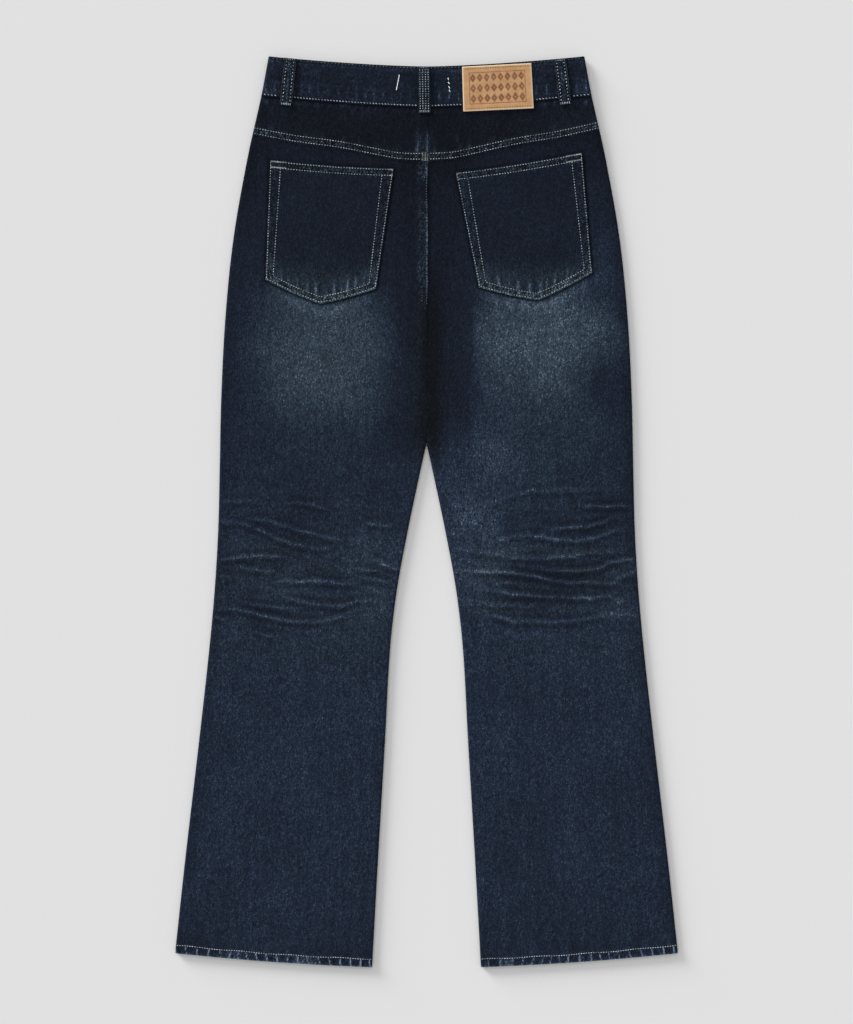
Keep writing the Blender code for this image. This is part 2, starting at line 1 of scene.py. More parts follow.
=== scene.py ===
"""Dark denim bootcut jeans lying on their front, seen from straight above.

Sizes are in millimetres unless a comment says otherwise, and meshes are made in metres. "Left"
is the wearer's left, at -X; +Y points to the waist. Every cloth piece is laid out as a grid,
row by row, and then given its wall.
"""
import math
from collections import namedtuple
from functools import partial

import bpy
import numpy as np
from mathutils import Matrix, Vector
from mathutils.bvhtree import BVHTree


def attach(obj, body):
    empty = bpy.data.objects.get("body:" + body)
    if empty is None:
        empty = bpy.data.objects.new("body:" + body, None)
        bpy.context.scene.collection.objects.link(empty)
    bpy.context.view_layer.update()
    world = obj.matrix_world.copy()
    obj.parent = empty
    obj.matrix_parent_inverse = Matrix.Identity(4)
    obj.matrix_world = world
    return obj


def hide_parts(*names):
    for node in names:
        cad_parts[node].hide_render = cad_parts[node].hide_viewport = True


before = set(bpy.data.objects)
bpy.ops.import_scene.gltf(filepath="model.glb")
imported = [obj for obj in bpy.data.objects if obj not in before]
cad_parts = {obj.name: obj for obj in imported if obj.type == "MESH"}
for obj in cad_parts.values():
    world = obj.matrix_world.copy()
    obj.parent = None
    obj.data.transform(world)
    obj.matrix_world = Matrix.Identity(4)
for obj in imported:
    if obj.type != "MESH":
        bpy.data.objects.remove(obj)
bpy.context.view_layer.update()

MM = 0.001

# ---- The table, the light and the camera ----
# A pale matt board larger than the view, in a white room. A broad light hangs overhead and a low
# lamp stands past the left of the waist: the cloth throws a short soft shadow down to the right.
FLOOR_COLOUR = "#E4E4E4"
FLOOR_SIZE = 12.0               # metres
FLOOR_LEVEL = -0.3              # just under the cloth
ROOM_BRIGHTNESS = 0.40
Lamp = namedtuple("Lamp", "name strength height turn breadth")      # turn: from +X towards +Y
LAMPS = (
    Lamp("low_lamp", 3.36, 15.7, 135.0, 26.0),
    Lamp("overhead_light", 0.90, 76.0, 110.0, 60.0),
)
VIEW_HEIGHT = 1.167             # metres of table from the top of the picture to its foot
LENS = 85.0
LENS_FRAME = 36.0
CLOTH_LEVEL = 0.007             # metres


def linear(colour):
    """An sRGB hex colour as linear red, green, blue and alpha."""
    values = [int(colour[start:start + 2], 16) / 255 for start in (1, 3, 5)]
    return [v / 12.92 if v <= 0.04045 else ((v + 0.055) / 1.055) ** 2.4 for v in values] + [1.0]


def add_node(tree, kind, inputs=None, out=0, stops=None, **settings):
    """Adds a node with its settings, the values or links of its inputs and a ramp's stops."""
    node = tree.nodes.new("ShaderNode" + kind)
    for name, value in settings.items():
        setattr(node, name, value)
    for socket, value in (inputs or {}).items():
        if isinstance(value, bpy.types.NodeSocket):
            tree.links.new(value, node.inputs[socket])
        else:
            node.inputs[socket].default_value = value
    if stops:
        ramp = node.color_ramp
        while len(ramp.elements) < len(stops):
            ramp.elements.new(1.0)
        for element, (place, colour) in zip(ramp.elements, stops):
            element.position = place
            element.color = linear(colour)
    return node.outputs[out]


def new_material(name, **sockets):
    """A Principled material with plain values on its sockets, its tree and its object coordinates."""
    material = bpy.data.materials.new(name)
    material.use_nodes = True
    tree = material.node_tree
    for socket, value in sockets.items():
        tree.nodes["Principled BSDF"].inputs[socket.replace("_", " ")].default_value = value
    return material, tree, add_node(tree, "TexCoord", out="Object")


def surface(tree, height, strength, depth, colour=None):
    """Gives a material its relief, depth metres deep, and its colour if that varies."""
    shader = tree.nodes["Principled BSDF"]
    relief = add_node(tree, "Bump", {"Height": height, "Strength": strength, "Distance": depth})
    tree.links.new(relief, shader.inputs["Normal"])
    if colour:
        tree.links.new(colour, shader.inputs["Base Color"])


# Painted board: matt, with a trace of roller texture
board, tree, place = new_material("painted_board", Base_Color=linear(FLOOR_COLOUR), Roughness=0.9,
                                  Specular_IOR_Level=0.2)
surface(tree, add_node(tree, "TexNoise", {"Vector": place, "Scale": 900.0, "Detail": 1.0}), 0.05, 0.0001)

bpy.ops.mesh.primitive_plane_add(size=FLOOR_SIZE, location=(0.0, 0.0, FLOOR_LEVEL * MM))
floor = bpy.context.object
floor.name = "table_top"
floor.data.materials.append(board)

room = bpy.data.worlds.new("white_room")
room.use_nodes = True
room.node_tree.nodes["Background"].inputs["Color"].default_value = (1.0, 1.0, 1.0, 1.0)
room.node_tree.nodes["Background"].inputs["Strength"].default_value = ROOM_BRIGHTNESS
bpy.context.scene.world = room

for lamp in LAMPS:
    light = bpy.data.lights.new(lamp.name, "SUN")
    light.energy = lamp.strength
    light.angle = math.radians(lamp.breadth)
    lamp_stand = bpy.data.objects.new(lamp.name, light)
    turn, height = math.radians(lamp.turn), math.radians(lamp.height)
    lamp_from = Vector((math.cos(turn) * math.cos(height), math.sin(turn) * math.cos(height),
                        math.sin(height)))
    lamp_stand.rotation_mode = "QUATERNION"
    lamp_stand.rotation_quaternion = lamp_from.to_track_quat("Z", "Y")
    bpy.context.scene.collection.objects.link(lamp_stand)

camera = bpy.data.cameras.new("overhead_camera")
camera.lens = LENS
camera.sensor_width = LENS_FRAME
camera.clip_end = 50.0
camera_stand = bpy.data.objects.new("overhead_camera", camera)
camera_stand.location = (0.0, 0.0, CLOTH_LEVEL + VIEW_HEIGHT * LENS / LENS_FRAME)
bpy.context.scene.collection.objects.link(camera_stand)
bpy.context.scene.camera = camera_stand
bpy.context.scene.view_settings.view_transform = "Standard"

# ---- Back leg panels ----
# The two long panels that show: dark indigo denim, washed, with teal-grey fades on the seat and
# pressed creases behind the knee. The left one is folded over the right at the centre seam.
WALL = 1.2
GAP = 0.3
SEAM_GAP = 0.05                 # where the two backs, or the two fronts, meet at the middle
LAY_HEIGHT = 6.0
LIFT = 1.8                      # the waist's height off the table
LIFT_START = 385.0
LIFT_END = 444.0
EDGE_ROUND = 3.0
EDGE_STEPS = 5
SEAM_LAND = 0.4
EDGE_DROP = LAY_HEIGHT / 2 - GAP / 2 - SEAM_LAND
SEAM_RAISE = 0.8

EdgePoint = namedtuple("EdgePoint", "y half_width")
SIDE_SEAM = (
    EdgePoint(519.0, 180.1), EdgePoint(473.0, 188.7), EdgePoint(402.0, 204.6),
    EdgePoint(310.0, 220.6), EdgePoint(219.0, 229.7), EdgePoint(128.0, 234.3),
    EdgePoint(48.0, 236.0), EdgePoint(-20.0, 237.7), EdgePoint(-88.0, 241.7),
    EdgePoint(-157.0, 248.0), EdgePoint(-260.0, 259.4), EdgePoint(-396.0, 275.3),
    EdgePoint(-519.0, 288.6),
)
INSEAM = (
    EdgePoint(77.8, 0.2), EdgePoint(48.0, 6.8), EdgePoint(-20.0, 21.1), EdgePoint(-88.0, 33.6),
    EdgePoint(-157.0, 41.6), EdgePoint(-260.0, 47.3), EdgePoint(-396.0, 55.3),
    EdgePoint(-519.0, 62.1),
)
CROTCH = 77.8
CROTCH_BLEND = 16.0
CURL_LEAD = 2.4
HEM_AT_SIDE = -503.0
HEM_DROP = 16.0
HEM_BOW = 2.0
HEM_ROWS = (0.0, 0.5, 1.4, 3.0, 4.6, 6.2, 7.8, 9.0, 9.8, 10.8, 12.0)
HEM_BLEND = 48.0
HEM_FOLLOW = 0.6
ROPE_PITCH = 11.5               # between the slanted ripples of a washed hem
ROPE_RISE = 0.28

FELL_EDGE = 1.5
FELL_FADE = 60.0
FELL_BAND = (-12.0, -9.0, 1.4, 0.0)         # X where its rubbed band comes in and fades out
FELL_SLOPE = (8.6, 12.0)        # where the height of the folded edge falls away again
FELL_LOW = (120.0, 250.0)       # the fell rises out of the crotch between these heights
FELL_WORN = (228.0, 262.0)      # and its rubbing sets in between these
FELL_MISSED = (367.0, 9.0)      # a short stretch that the rubbing missed
FELL_PALE = 388.0               # and one that it made paler
HEM_SLOPE = (9.0, 12.0)
FELL_WAYS = (0.0, 0.6, 1.5, 4.5, 8.0, 9.6, 12.0)    # columns beside the centre seam

YOKE_SEAM = ((0.0, 399.5), (30.0, 400.8), (50.0, 404.5), (100.0, 414.9), (150.0, 422.4),
             (204.0, 433.5))
YOKE_TILT = 0.016
YOKE_PULL = 130.0

FLY_EDGE = 8.0
FLY_LENGTH = 160.0
FLY_FADE = 60.0

WAIST_TOP_HALF = 180.1
WAIST_CORNER = 519.0
WAIST_SEAM_CORNER = 473.9
WaistLine = namedtuple("WaistLine", "corner dip half power")
WAIST_LINES = (                 # back top and seam, then front top and seam
    WaistLine(WAIST_CORNER, 11.5, WAIST_TOP_HALF, 1.5),
    WaistLine(WAIST_SEAM_CORNER, 13.1, 188.7, 1.5),
    WaistLine(WAIST_CORNER, 29.0, WAIST_TOP_HALF, 1.5),
    WaistLine(WAIST_SEAM_CORNER, 30.4, 188.7, 1.25),
)

RowBand = namedtuple("RowBand", "start end spacing")
BACK_ROWS = (RowBand(-484.0, -168.0, 10.0), RowBand(-168.0, 48.0, 1.4), RowBand(48.0, 125.0, 5.0),
             RowBand(125.0, 234.0, 8.0), RowBand(234.0, 280.0, 1.7), RowBand(280.0, 382.0, 6.0),
             RowBand(382.0, 398.5, 2.0))
BACK_SPANS = 150

# Crest lines of the creases: heights are evenly spaced from x_start to x_end; rise is above the
# cloth, reach is half the crest's breadth, and pale says how worn it is and how dark the painted
# shade beside it is.
Crease = namedtuple("Crease", "x_start x_end heights rise reach pale")
CREASES = (
    Crease(-233, -192, (12, 13), 0.3, 2.4, 0.26),
    Crease(-160, -112, (10, 9, 3), 0.5, 2.2, 0.34),
    Crease(-84, -38, (-4, -14, -16), 0.4, 2.6, 0.24),
    Crease(-237, -107, (-10, -12, -19, -30, -37, -41, -42), 0.9, 2.0, 0.42),
    Crease(-206, -95, (-8, -11, -20, -27, -32), 0.7, 2.2, 0.36),
    Crease(-237, -159, (-55, -52, -50, -52), 0.8, 2.0, 0.42),
    Crease(-219, -172, (-61, -66, -67), 0.5, 1.8, 0.36),
    Crease(-177, -76, (-80, -79, -80, -82), 0.8, 2.0, 0.40),
    Crease(-64, -30, (-53, -60, -66), 0.4, 2.4, 0.30),
    Crease(-84, -50, (-65, -66, -68), 0.3, 2.0, 0.26),
    Crease(-82, -34, (-75, -77, -85), 0.5, 2.2, 0.34),
    Crease(-214, -152, (-105, -107, -111), 0.6, 1.8, 0.36),
    Crease(-165, -51, (-96, -102, -106, -107, -101, -103), 0.8, 1.8, 0.44),
    Crease(-242, -89, (-110, -111, -117, -123, -126, -124, -117), 0.9, 1.9, 0.46),
    Crease(-242, -226, (-120, -125), 0.3, 1.8, 0.28),
    Crease(-198, -165, (-135, -141, -143), 0.3, 2.0, 0.24),
    Crease(-137, -124, (-149, -156), 0.2, 2.0, 0.18),
    Crease(54, 199, (7, 13, 23, 25, 25, 26), 0.6, 6.0, 0.20),
    Crease(177, 235, (6, 7), 0.5, 1.5, 0.42),
    Crease(144, 218, (-19, -18, -17, -12, -4), 0.8, 1.5, 0.52),
    Crease(72, 234, (-35, -30, -27, -29, -32, -32, -29, -21, -17), 0.8, 2.6, 0.38),
    Crease(115, 137, (-40, -38), 0.3, 2.0, 0.24),
    Crease(28, 226, (-41, -46, -51, -53, -51, -46, -42), 0.8, 3.2, 0.30),
    Crease(132, 238, (-66, -67, -67, -64, -56, -54), 0.9, 1.6, 0.50),
    Crease(35, 218, (-66, -68, -69, -74, -80, -80, -81), 0.9, 2.0, 0.50),
    Crease(215, 238, (-77, -69), 0.4, 2.4, 0.30),
    Crease(75, 107, (-81, -81), 0.3, 1.6, 0.26),
    Crease(63, 218, (-87, -93, -96, -97, -98, -93), 0.9, 1.9, 0.46),
    Crease(65, 125, (-105, -106, -107), 0.4, 2.2, 0.28),
    Crease(49, 243, (-114, -117, -124, -125, -126, -124, -119, -117, -118), 0.8, 2.2, 0.34),
)
CREASE_BASE = 6.5               # each crest stands on a low swell of this half breadth
CREASE_TROUGH = 0.5
CREASE_KEEP_OFF = 14.0
CREASE_WANDER = 0.9
CREST_SHARE = 0.70
CREST_BREADTH = 0.52
HALO_SHARE = 0.15
CREASE_PAINTED_SHADE = 0.36
FINE_CREASES = ((50.0, 10.0), (34.0, 7.0))      # length and height of two sizes of faint line
KNEE_MIDDLE = -66.0
KNEE_REACH = 92.0

# Where the wash has taken the dye: fade down the leg, then soft patches added to it
LEG_FADE = ((-519.0, 0.34), (-440.0, 0.37), (-300.0, 0.39), (-120.0, 0.39), (-20.0, 0.36),
            (40.0, 0.33), (120.0, 0.30), (200.0, 0.30), (260.0, 0.28), (330.0, 0.23), (400.0, 0.17),
            (440.0, 0.14))
Patch = namedtuple("Patch", "x y reach_x reach_y fade teal")
SEAT_FADES = (
    Patch(-118.0, 182.0, 86.0, 94.0, 0.22, 0.6),
    Patch(-112.0, 198.0, 58.0, 56.0, 0.04, 0.15),
    Patch(128.0, 200.0, 92.0, 78.0, 0.23, 0.5),
    Patch(130.0, 206.0, 72.0, 46.0, 0.09, 0.15),
    Patch(122.0, 100.0, 88.0, 56.0, 0.11, 0.2),
    Patch(56.0, 40.0, 50.0, 60.0, 0.12, 0.0),
    Patch(58.0, -46.0, 46.0, 56.0, 0.13, 0.0),
    Patch(218.0, -116.0, 34.0, 10.0, 0.12, 0.0),
    Patch(170.0, -80.0, 60.0, 50.0, -0.03, 0.0),
    Patch(-148.0, -64.0, 28.0, 14.0, -0.06, 0.0),
    Patch(-56.0, -60.0, 36.0, 60.0, 0.05, 0.0),
    Patch(200.0, 300.0, 30.0, 90.0, 0.06, 0.0),
)
SEAT_EDGE = 53.0                # the right fade ends rather sharply at this X
CENTRE_SHADE_AND_DYE = 0.20              # painted shade where the seat folds in beside the centre seam, and the dye left there
CENTRE_DARK_AT = 5.5
CENTRE_DARK_NEAR = 10.0
CENTRE_DARK_FAR = 48.0


def ease(low, high, value):
    """0 below low, 1 above high, and an even ease between them."""
    t = np.clip((value - low) / (high - low), 0.0, 1.0)
    return t * t * (3.0 - 2.0 * t)


def mix(a, b, t):
    return a + (b - a) * t


def bump(value, centre, reach):
    """A soft bump of height 1 at the centre."""
    return np.exp(-((value - centre) / reach) ** 2)


def waver(x, y, size, seed):
    """A smooth random field between -1 and 1, its lumps about size across (one or two sizes)."""
    size_x, size_y = size if isinstance(size, tuple) else (size, size)
    u = x / size_x + 17.3 * seed
    v = y / size_y - 9.1 * seed
    u0, v0 = np.floor(u), np.floor(v)
    fu, fv = u - u0, v - v0
    fu, fv = fu * fu * (3 - 2 * fu), fv * fv * (3 - 2 * fv)

    def knot(a, b):
        value = np.sin(a * 127.1 + b * 311.7 + seed * 74.7) * 43758.5453
        return 2.0 * (value - np.floor(value)) - 1.0

    return mix(mix(knot(u0, v0), knot(u0 + 1, v0), fu),
               mix(knot(u0, v0 + 1), knot(u0 + 1, v0 + 1), fu), fv)


def crests(waves, power=1):
    """What stands out of waves between -1 and 1, in sharper peaks with a higher power."""
    return np.maximum(0.0, waves) ** power


def on_curve(points, position):
    """Values at positions on a smooth curve through (position, value) points."""
    places, values = np.array(sorted((point[0], point[1]) for point in points)).T
    position = np.clip(position, places[0], places[-1])
    last = len(places) - 1
    low = np.maximum(np.arange(last + 1) - 1, 0)
    high = np.minimum(np.arange(last + 1) + 1, last)
    slopes = (values[high] - values[low]) / (places[high] - places[low])
    index = np.clip(np.searchsorted(places, position) - 1, 0, last - 1)
    span = places[index + 1] - places[index]
    t = (position - places[index]) / span
    return ((2 * t**3 - 3 * t**2 + 1) * values[index] + (t**3 - 2 * t**2 + t) * span * slopes[index]
            + (3 * t**2 - 2 * t**3) * values[index + 1] + (t**3 - t**2) * span * slopes[index + 1])


def side_edge(y):
    return on_curve(SIDE_SEAM, y)


def lift(y):
    return LIFT * ease(LIFT_START, LIFT_END, y)


def waist_line(line, x):
    """Height of an edge of the waistband, which sinks from its corners to the middle."""
    return line.corner - line.dip + line.dip * np.minimum(1.0, np.abs(x) / line.half) ** line.power


back_top, back_seam, front_top, front_seam = (partial(waist_line, line) for line in WAIST_LINES)


def yoke_seam(x):
    return on_curve(YOKE_SEAM, np.abs(x)) + YOKE_TILT * x


def hem_edge(across):
    """Hem height, across = 0 at the side seam and 1 at the inseam."""
    return HEM_AT_SIDE - HEM_DROP * across - HEM_BOW * np.sin(math.pi * across)


def centre_line(face, y):
    """X of the visible centre seam above the crotch."""
    if face == "back":
        return FELL_EDGE * ease(CROTCH, CROTCH + FELL_FADE, y)
    foot = front_seam(0.0) - FLY_LENGTH
    return FLY_EDGE * ease(foot - FLY_FADE, foot - 2.0, y)


def inner_edge(face, side, y):
    """Distance from the middle to a panel's inner edge, on that panel's own side."""
    return np.where(y < CROTCH, on_curve(INSEAM, y), SEAM_GAP / 2 + side * centre_line(face, y))


def inseam_curl(y):
    """0 where a panel lies flat up to the centre seam, 1 where its inner edge curls over."""
    return (1.0 - np.clip((y - CROTCH) / CROTCH_BLEND, 0.0, 1.0)) ** 2


EDGE_TURN = np.linspace(math.pi / 2, 0.0, EDGE_STEPS + 1)
EDGE_WAYS = np.concatenate(([0.0], EDGE_ROUND * (1 - np.sin(EDGE_TURN))))
EDGE_FALLS = np.concatenate(([EDGE_DROP + SEAM_LAND], EDGE_DROP * (1 - np.cos(EDGE_TURN))))


def panel_columns(spans):
    return 2 * len(EDGE_WAYS) + spans - 2


def panel_across(face, side, y, column, spans):
    """Way from the middle and drop of a panel's columns at height y."""
    count = len(EDGE_WAYS)
    curl = inseam_curl(y)
    settle = np.minimum(1.0, CURL_LEAD * curl)
    from_outer = np.minimum(column, count - 1)
    from_inner = np.minimum(panel_columns(spans) - column, count - 1)
    outer_way = side_edge(y) - EDGE_WAYS[from_outer]
    inner_way = (inner_edge(face, side, y)
                 + mix(np.array(FELL_WAYS)[from_inner], EDGE_WAYS[from_inner], settle))
    share = np.clip((column - count + 1) / spans, 0.0, 1.0)
    drop = EDGE_FALLS[from_outer] + EDGE_FALLS[from_inner] * curl
    return mix(outer_way, inner_way, share), drop


SETTLING_ROUNDS = 5


def settled(face, side, column, spans, row_height):
    """Places of columns on rows whose height depends on the way across."""
    y = row_height(np.zeros(column.shape), np.zeros(column.shape))
    for _ in range(SETTLING_ROUNDS):
        across, drop = panel_across(face, side, y, column, spans)
        outer, inner = side_edge(y), inner_edge(face, side, y)
        y = row_height(side * across, (outer - across) / (outer - inner))
    across, drop = panel_across(face, side, y, column, spans)
    return side * across, y, drop


def levels(bands):
    """Heights of a panel's rows above its hem."""
    heights = []
    for band in bands:
        count = round((band.end - band.start) / band.spacing)
        heights.extend(np.linspace(band.start, band.end, count, endpoint=False))
    return np.array(heights)


def from_table(values, index):
    """Values of a table at whole numbers, its ends repeated beyond it."""
    return np.array(values)[np.clip(index, 0, len(values) - 1)]


def leg_height(heights, top, row, x, across):
    """Height of a point in a row: along the hem, then level, then up to the top seam."""
    above = row - len(HEM_ROWS)
    level = from_table(heights, above)
    share = np.clip(1.0 - (level - heights[0]) / HEM_BLEND, 0.0, 1.0)
    level = level + (hem_edge(across) - hem_edge(0.5)) * share * HEM_FOLLOW
    centre_top = top(0.0) - GAP
    y = level + (top(x) - top(0.0)) * ease(centre_top - YOKE_PULL, centre_top, level)
    y = np.where(above == len(heights), top(x) - GAP, y)
    return np.where(above < 0, hem_edge(across) + from_table(HEM_ROWS, row), y)


def creases(x, y):
    """Rise of the knee creases above the cloth, and how pale their crests are, less the painted shade in
    bands beside them.
    """
    rise = np.zeros(x.shape)
    pale = np.zeros(x.shape)
    for number, crease in enumerate(CREASES):
        along = (x - crease.x_start) / (crease.x_end - crease.x_start)
        ends = np.sin(math.pi * np.clip(along, 0.0, 1.0)) ** 0.4
        line = on_curve(list(zip(np.linspace(0.0, 1.0, len(crease.heights)), crease.heights)), along)
        off = y - line - CREASE_WANDER * waver(x, 0.0, 9.0, number)
        uneven = 0.75 + 0.35 * waver(x, 0.0, 23.0, number + 40)
        sharp = bump(off, 0.0, crease.reach)
        swell = bump(off, 0.0, CREASE_BASE)
        trough = bump(off, 1.5 * CREASE_BASE, CREASE_BASE)
        broken = 0.85 + 0.3 * waver(x, 0.0, 6.0, number + 80)
        crest = broken * bump(off, 0.0, CREST_BREADTH * crease.reach)
        halo = bump(off, 0.5, 2.6 * crease.reach)
        rise += crease.rise * ends * uneven * (0.35 * sharp + 0.6 * swell - CREASE_TROUGH * trough)
        pale += crease.pale * ends * uneven * (CREST_SHARE * crest + HALO_SHARE * halo)
        # Painted shade: dark bands above and below each crest, where its flanks fall into shade
        pale -= CREASE_PAINTED_SHADE * crease.pale * ends * (bump(off, 5.4, 3.0) + bump(off, -4.8, 2.6))
    return rise, pale


def fine_creases(x, y):
    """How pale the many faint lines between the knee creases are."""
    total = np.zeros(x.shape)
    for number, (long, high) in enumerate(FINE_CREASES):
        field = waver(x, y + 0.05 * np.abs(x), (long, high), 140 + number)
        total += (1.0 - np.abs(field)) ** 10 * (0.5 + 0.5 * waver(x, y, 22.0, 150 + number))
    return total


def keep_off_seams(face, side, x, y):
    """0 on a leg's seams and 1 away from them."""
    across = side * x
    return (ease(0.0, CREASE_KEEP_OFF, side_edge(y) - across)
            * ease(0.0, CREASE_KEEP_OFF, across - inner_edge(face, side, y)))


def back_relief(side, x, y):
    """What the wash and wear raise above the flat of a back panel."""
    swell = 0.30 * waver(x, y, 58.0, 3) + 0.14 * waver(x, y, (16.0, 34.0), 5)
    return (swell + creases(x, y)[0]) * keep_off_seams("back", side, x, y)


def hem_way(x, y):
    """Height of points of the cloth above the hem."""
    across = (side_edge(y) - np.abs(x)) / (side_edge(y) - on_curve(INSEAM, y))
    return y - hem_edge(np.clip(across, 0.0, 1.0))


def rope(x, hem):
    """The slanted ripples that a wash draws into the folded hem: -1 to 1."""
    lean = (0.10 + 0.35 * waver(x, 0.0, 40.0, 10)) * hem
    return np.sin(math.tau * (x + lean) / ROPE_PITCH + 2.2 * waver(x, 0.0, 30.0, 9))


def folded_edge(way, start, end, step=1.4, ripple=0.0):
    """Height that cloth folded under adds, at a way in from the fold, down to nothing at end."""
    return (SEAM_RAISE * (0.5 + 0.5 * ease(0.0, step, way)) + ripple) * (1.0 - ease(start, end, way))


def flatness(drop):
    """1 on the flat of a piece and 0 at its rolled edges."""
    return (1.0 - drop / (EDGE_DROP + SEAM_LAND)) ** 2


def on_seat(y):
    return ease(CROTCH - 40.0, CROTCH + 20.0, y)


def back_wash(x, y):
    """Fade, painted shade and teal of the back panels at points of the cloth."""
    fade = on_curve(LEG_FADE, y)
    teal = np.zeros(x.shape)
    for patch in SEAT_FADES:
        way = ((x - patch.x) / patch.reach_x) ** 2 + ((y - patch.y) / patch.reach_y) ** 2
        share = np.exp(-(way * (1.0 + 0.3 * waver(x, y, 30.0, 12))) ** 2.0)
        if patch.x > SEAT_EDGE and patch.y > CROTCH:
            share = share * (0.25 + 0.75 * ease(SEAT_EDGE - 3.5, SEAT_EDGE + 3.5, x))
        fade = fade + patch.fade * share
        teal = teal + patch.teal * share

    # The seat: dark beside the centre seam, as are all seams, with painted shade where the seat folds
    # in, and greener along it
    seat = on_seat(y)
    fade -= seat * CENTRE_SHADE_AND_DYE * (bump(x, CENTRE_DARK_AT, CENTRE_DARK_NEAR)
                                  * ease(300.0, 215.0, y)
                                  + 0.6 * bump(x, 0.0, CENTRE_DARK_FAR))
    teal = teal + 0.8 * seat * bump(x, 2.0, 15.0) * ease(262.0, 225.0, y)
    fade += creases(x, y)[1] - 0.07 * bump(side_edge(y) - np.abs(x), 0.0, 12.0)

    # The hem: pale ropes and blotches on its fold, a rubbed rim, and short streaks above it
    hem = hem_way(x, y)
    ropes = crests(rope(x, hem), 14)
    strength = 0.75 + 0.45 * waver(x, 0.0, 14.0, 11)
    folded = 1 - ease(7.4, 9.4, hem)
    broad = ease(0.45, 0.8, waver(x, 0.0, 24.0, 27))
    fade += folded * (1.25 * ropes * strength + 0.18 * broad - 0.05)
    fade += 0.40 * bump(hem, 0.3, 1.1) - 0.10 * bump(hem, 15.0, 5.0)
    fade += 0.04 * waver(x, y, (2.6, 40.0), 30) * ease(-330.0, -420.0, y)
    fade += 0.10 * crests(waver(x, 0.0, 7.0, 29)) * bump(hem, 14.0, 7.0)

    # The whole leg: clouds and long faint streaks, then the fine lines behind the knee
    fade += (0.03 * waver(x, y, 44.0, 21) + 0.025 * waver(x, y, (3.2, 46.0), 22)
             + 0.015 * waver(x, y, 12.0, 23))
    knee = bump(y, KNEE_MIDDLE, KNEE_REACH)
    fade += knee * (0.15 * fine_creases(x, y) + 0.04 * waver(x, y, (70.0, 13.0), 25) - 0.01)
    teal = teal + knee * (0.3 + 0.3 * waver(x, y, (60.0, 12.0), 26)) * ease(20.0, 60.0, np.abs(x))
    return fade, np.clip(teal, 0.0, 1.0)


SMOOTH_ANGLE = math.radians(50)


def shell(name, columns, rows, place, materials, outward=1, wall=WALL):
    """A cloth piece and its points: a grid that place(column, row) lays out, then given its wall.

    outward is +1 where the outer face looks up, and -1 where it looks down at the table.
    """
    bpy.ops.mesh.primitive_grid_add(x_subdivisions=columns, y_subdivisions=rows, size=1.0)
    piece = bpy.context.object
    piece.name = piece.data.name = name
    mesh = piece.data
    places = np.empty(3 * len(mesh.vertices))
    mesh.vertices.foreach_get("co", places)
    places = places.reshape(-1, 3)
    column = np.rint((places[:, 0] + 0.5) * columns).astype(int)
    row = np.rint((places[:, 1] + 0.5) * rows).astype(int)
    laid = np.stack(place(column, row), axis=1) * MM
    mesh.vertices.foreach_set("co", laid.ravel())
    mesh.update()
    outermost = max(mesh.polygons, key=lambda face: outward * face.center.z)
    if outermost.normal.z * outward < 0:
        mesh.flip_normals()
    for material in materials:
        mesh.materials.append(material)
    thickness = piece.modifiers.new("Wall", "SOLIDIFY")
    thickness.thickness = wall * MM
    thickness.offset = -1.0
    thickness.use_even_offset = True
    thickness.use_quality_normals = True
    thickness.material_offset = 1 if len(materials) > 1 else 0
    bpy.ops.object.modifier_apply(modifier=thickness.name)
    bpy.ops.object.shade_smooth_by_angle(angle=SMOOTH_ANGLE)
    return piece, points_of(piece)


def points_of(piece):
    """A piece's points in millimetres, as three arrays."""
    places = np.empty(3 * len(piece.data.vertices))
    piece.data.vertices.foreach_get("co", places)
    return places.reshape(-1, 3).T / MM


def paint(piece, **fields):
    """Stores named values on a piece's points, for its material to read."""
    for name, values in fields.items():
        attribute = piece.data.attributes.new(name, "FLOAT", "POINT")
        everywhere = np.full(len(piece.data.vertices), values, dtype=np.float32)
        attribute.data.foreach_set("value", everywhere)


def cut_area(piece):
    """Area of one face of a cloth piece, in square metres."""
    return sum(face.area for face in piece.data.polygons) / 2


cloth = {}


def lay_cloth(piece, node, rests_on, slot="denim", **cut):
    """Attaches a cloth piece to the root body, hides the part it stands for and keeps it by that part's
    name; its cut is worked out but not kept.
    """
    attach(piece, "root")
    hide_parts(node)
    if not cut:
        x, y, _ = points_of(piece)
        width, length = float((np.ptp(x) + EDGE_DROP) * MM), float((np.ptp(y) + GAP) * MM)
        cut = {"flat": (width, length), "area": min(cut_area(piece), width * length)}
    cloth[node] = piece


# Ring-spun denim, warp-faced twill, indigo-dyed and stone-washed: the floats of the warp run down
# the leg as short streaks, each worn to its own depth of blue, with pale specks of bare yarn.
# Its wales are 0.6 mm apart, drawn 1.2 mm apart so that they show.
INDIGO = ((0.0, "#0D1017"), (0.25, "#171D29"), (0.5, "#242F41"), (0.75, "#3D4B5E"),
          (1.0, "#707F92"))
TEAL = ((0.0, "#0D1114"), (0.25, "#191F26"), (0.5, "#2B363F"), (0.75, "#43525C"),
        (1.0, "#75868F"))
FLOAT_WIDTH = 1.05
FLOAT_LENGTH = 3.0
SPECK = 1.15
BARE_YARN = 1.3                 # how much the palest specks stand out from the others
RUBBED = 0.21                   # how much more they do where a fold is rubbed
WALE = 1.2
WAVE_SCALE = 0.314 / 1.41       # the texture's scale for diagonal bands 1 apart


def attributes(tree, names):
    """What paint() stored on the points, as sockets."""
    return [add_node(tree, "Attribute", out="Fac", attribute_name=name) for name in names]


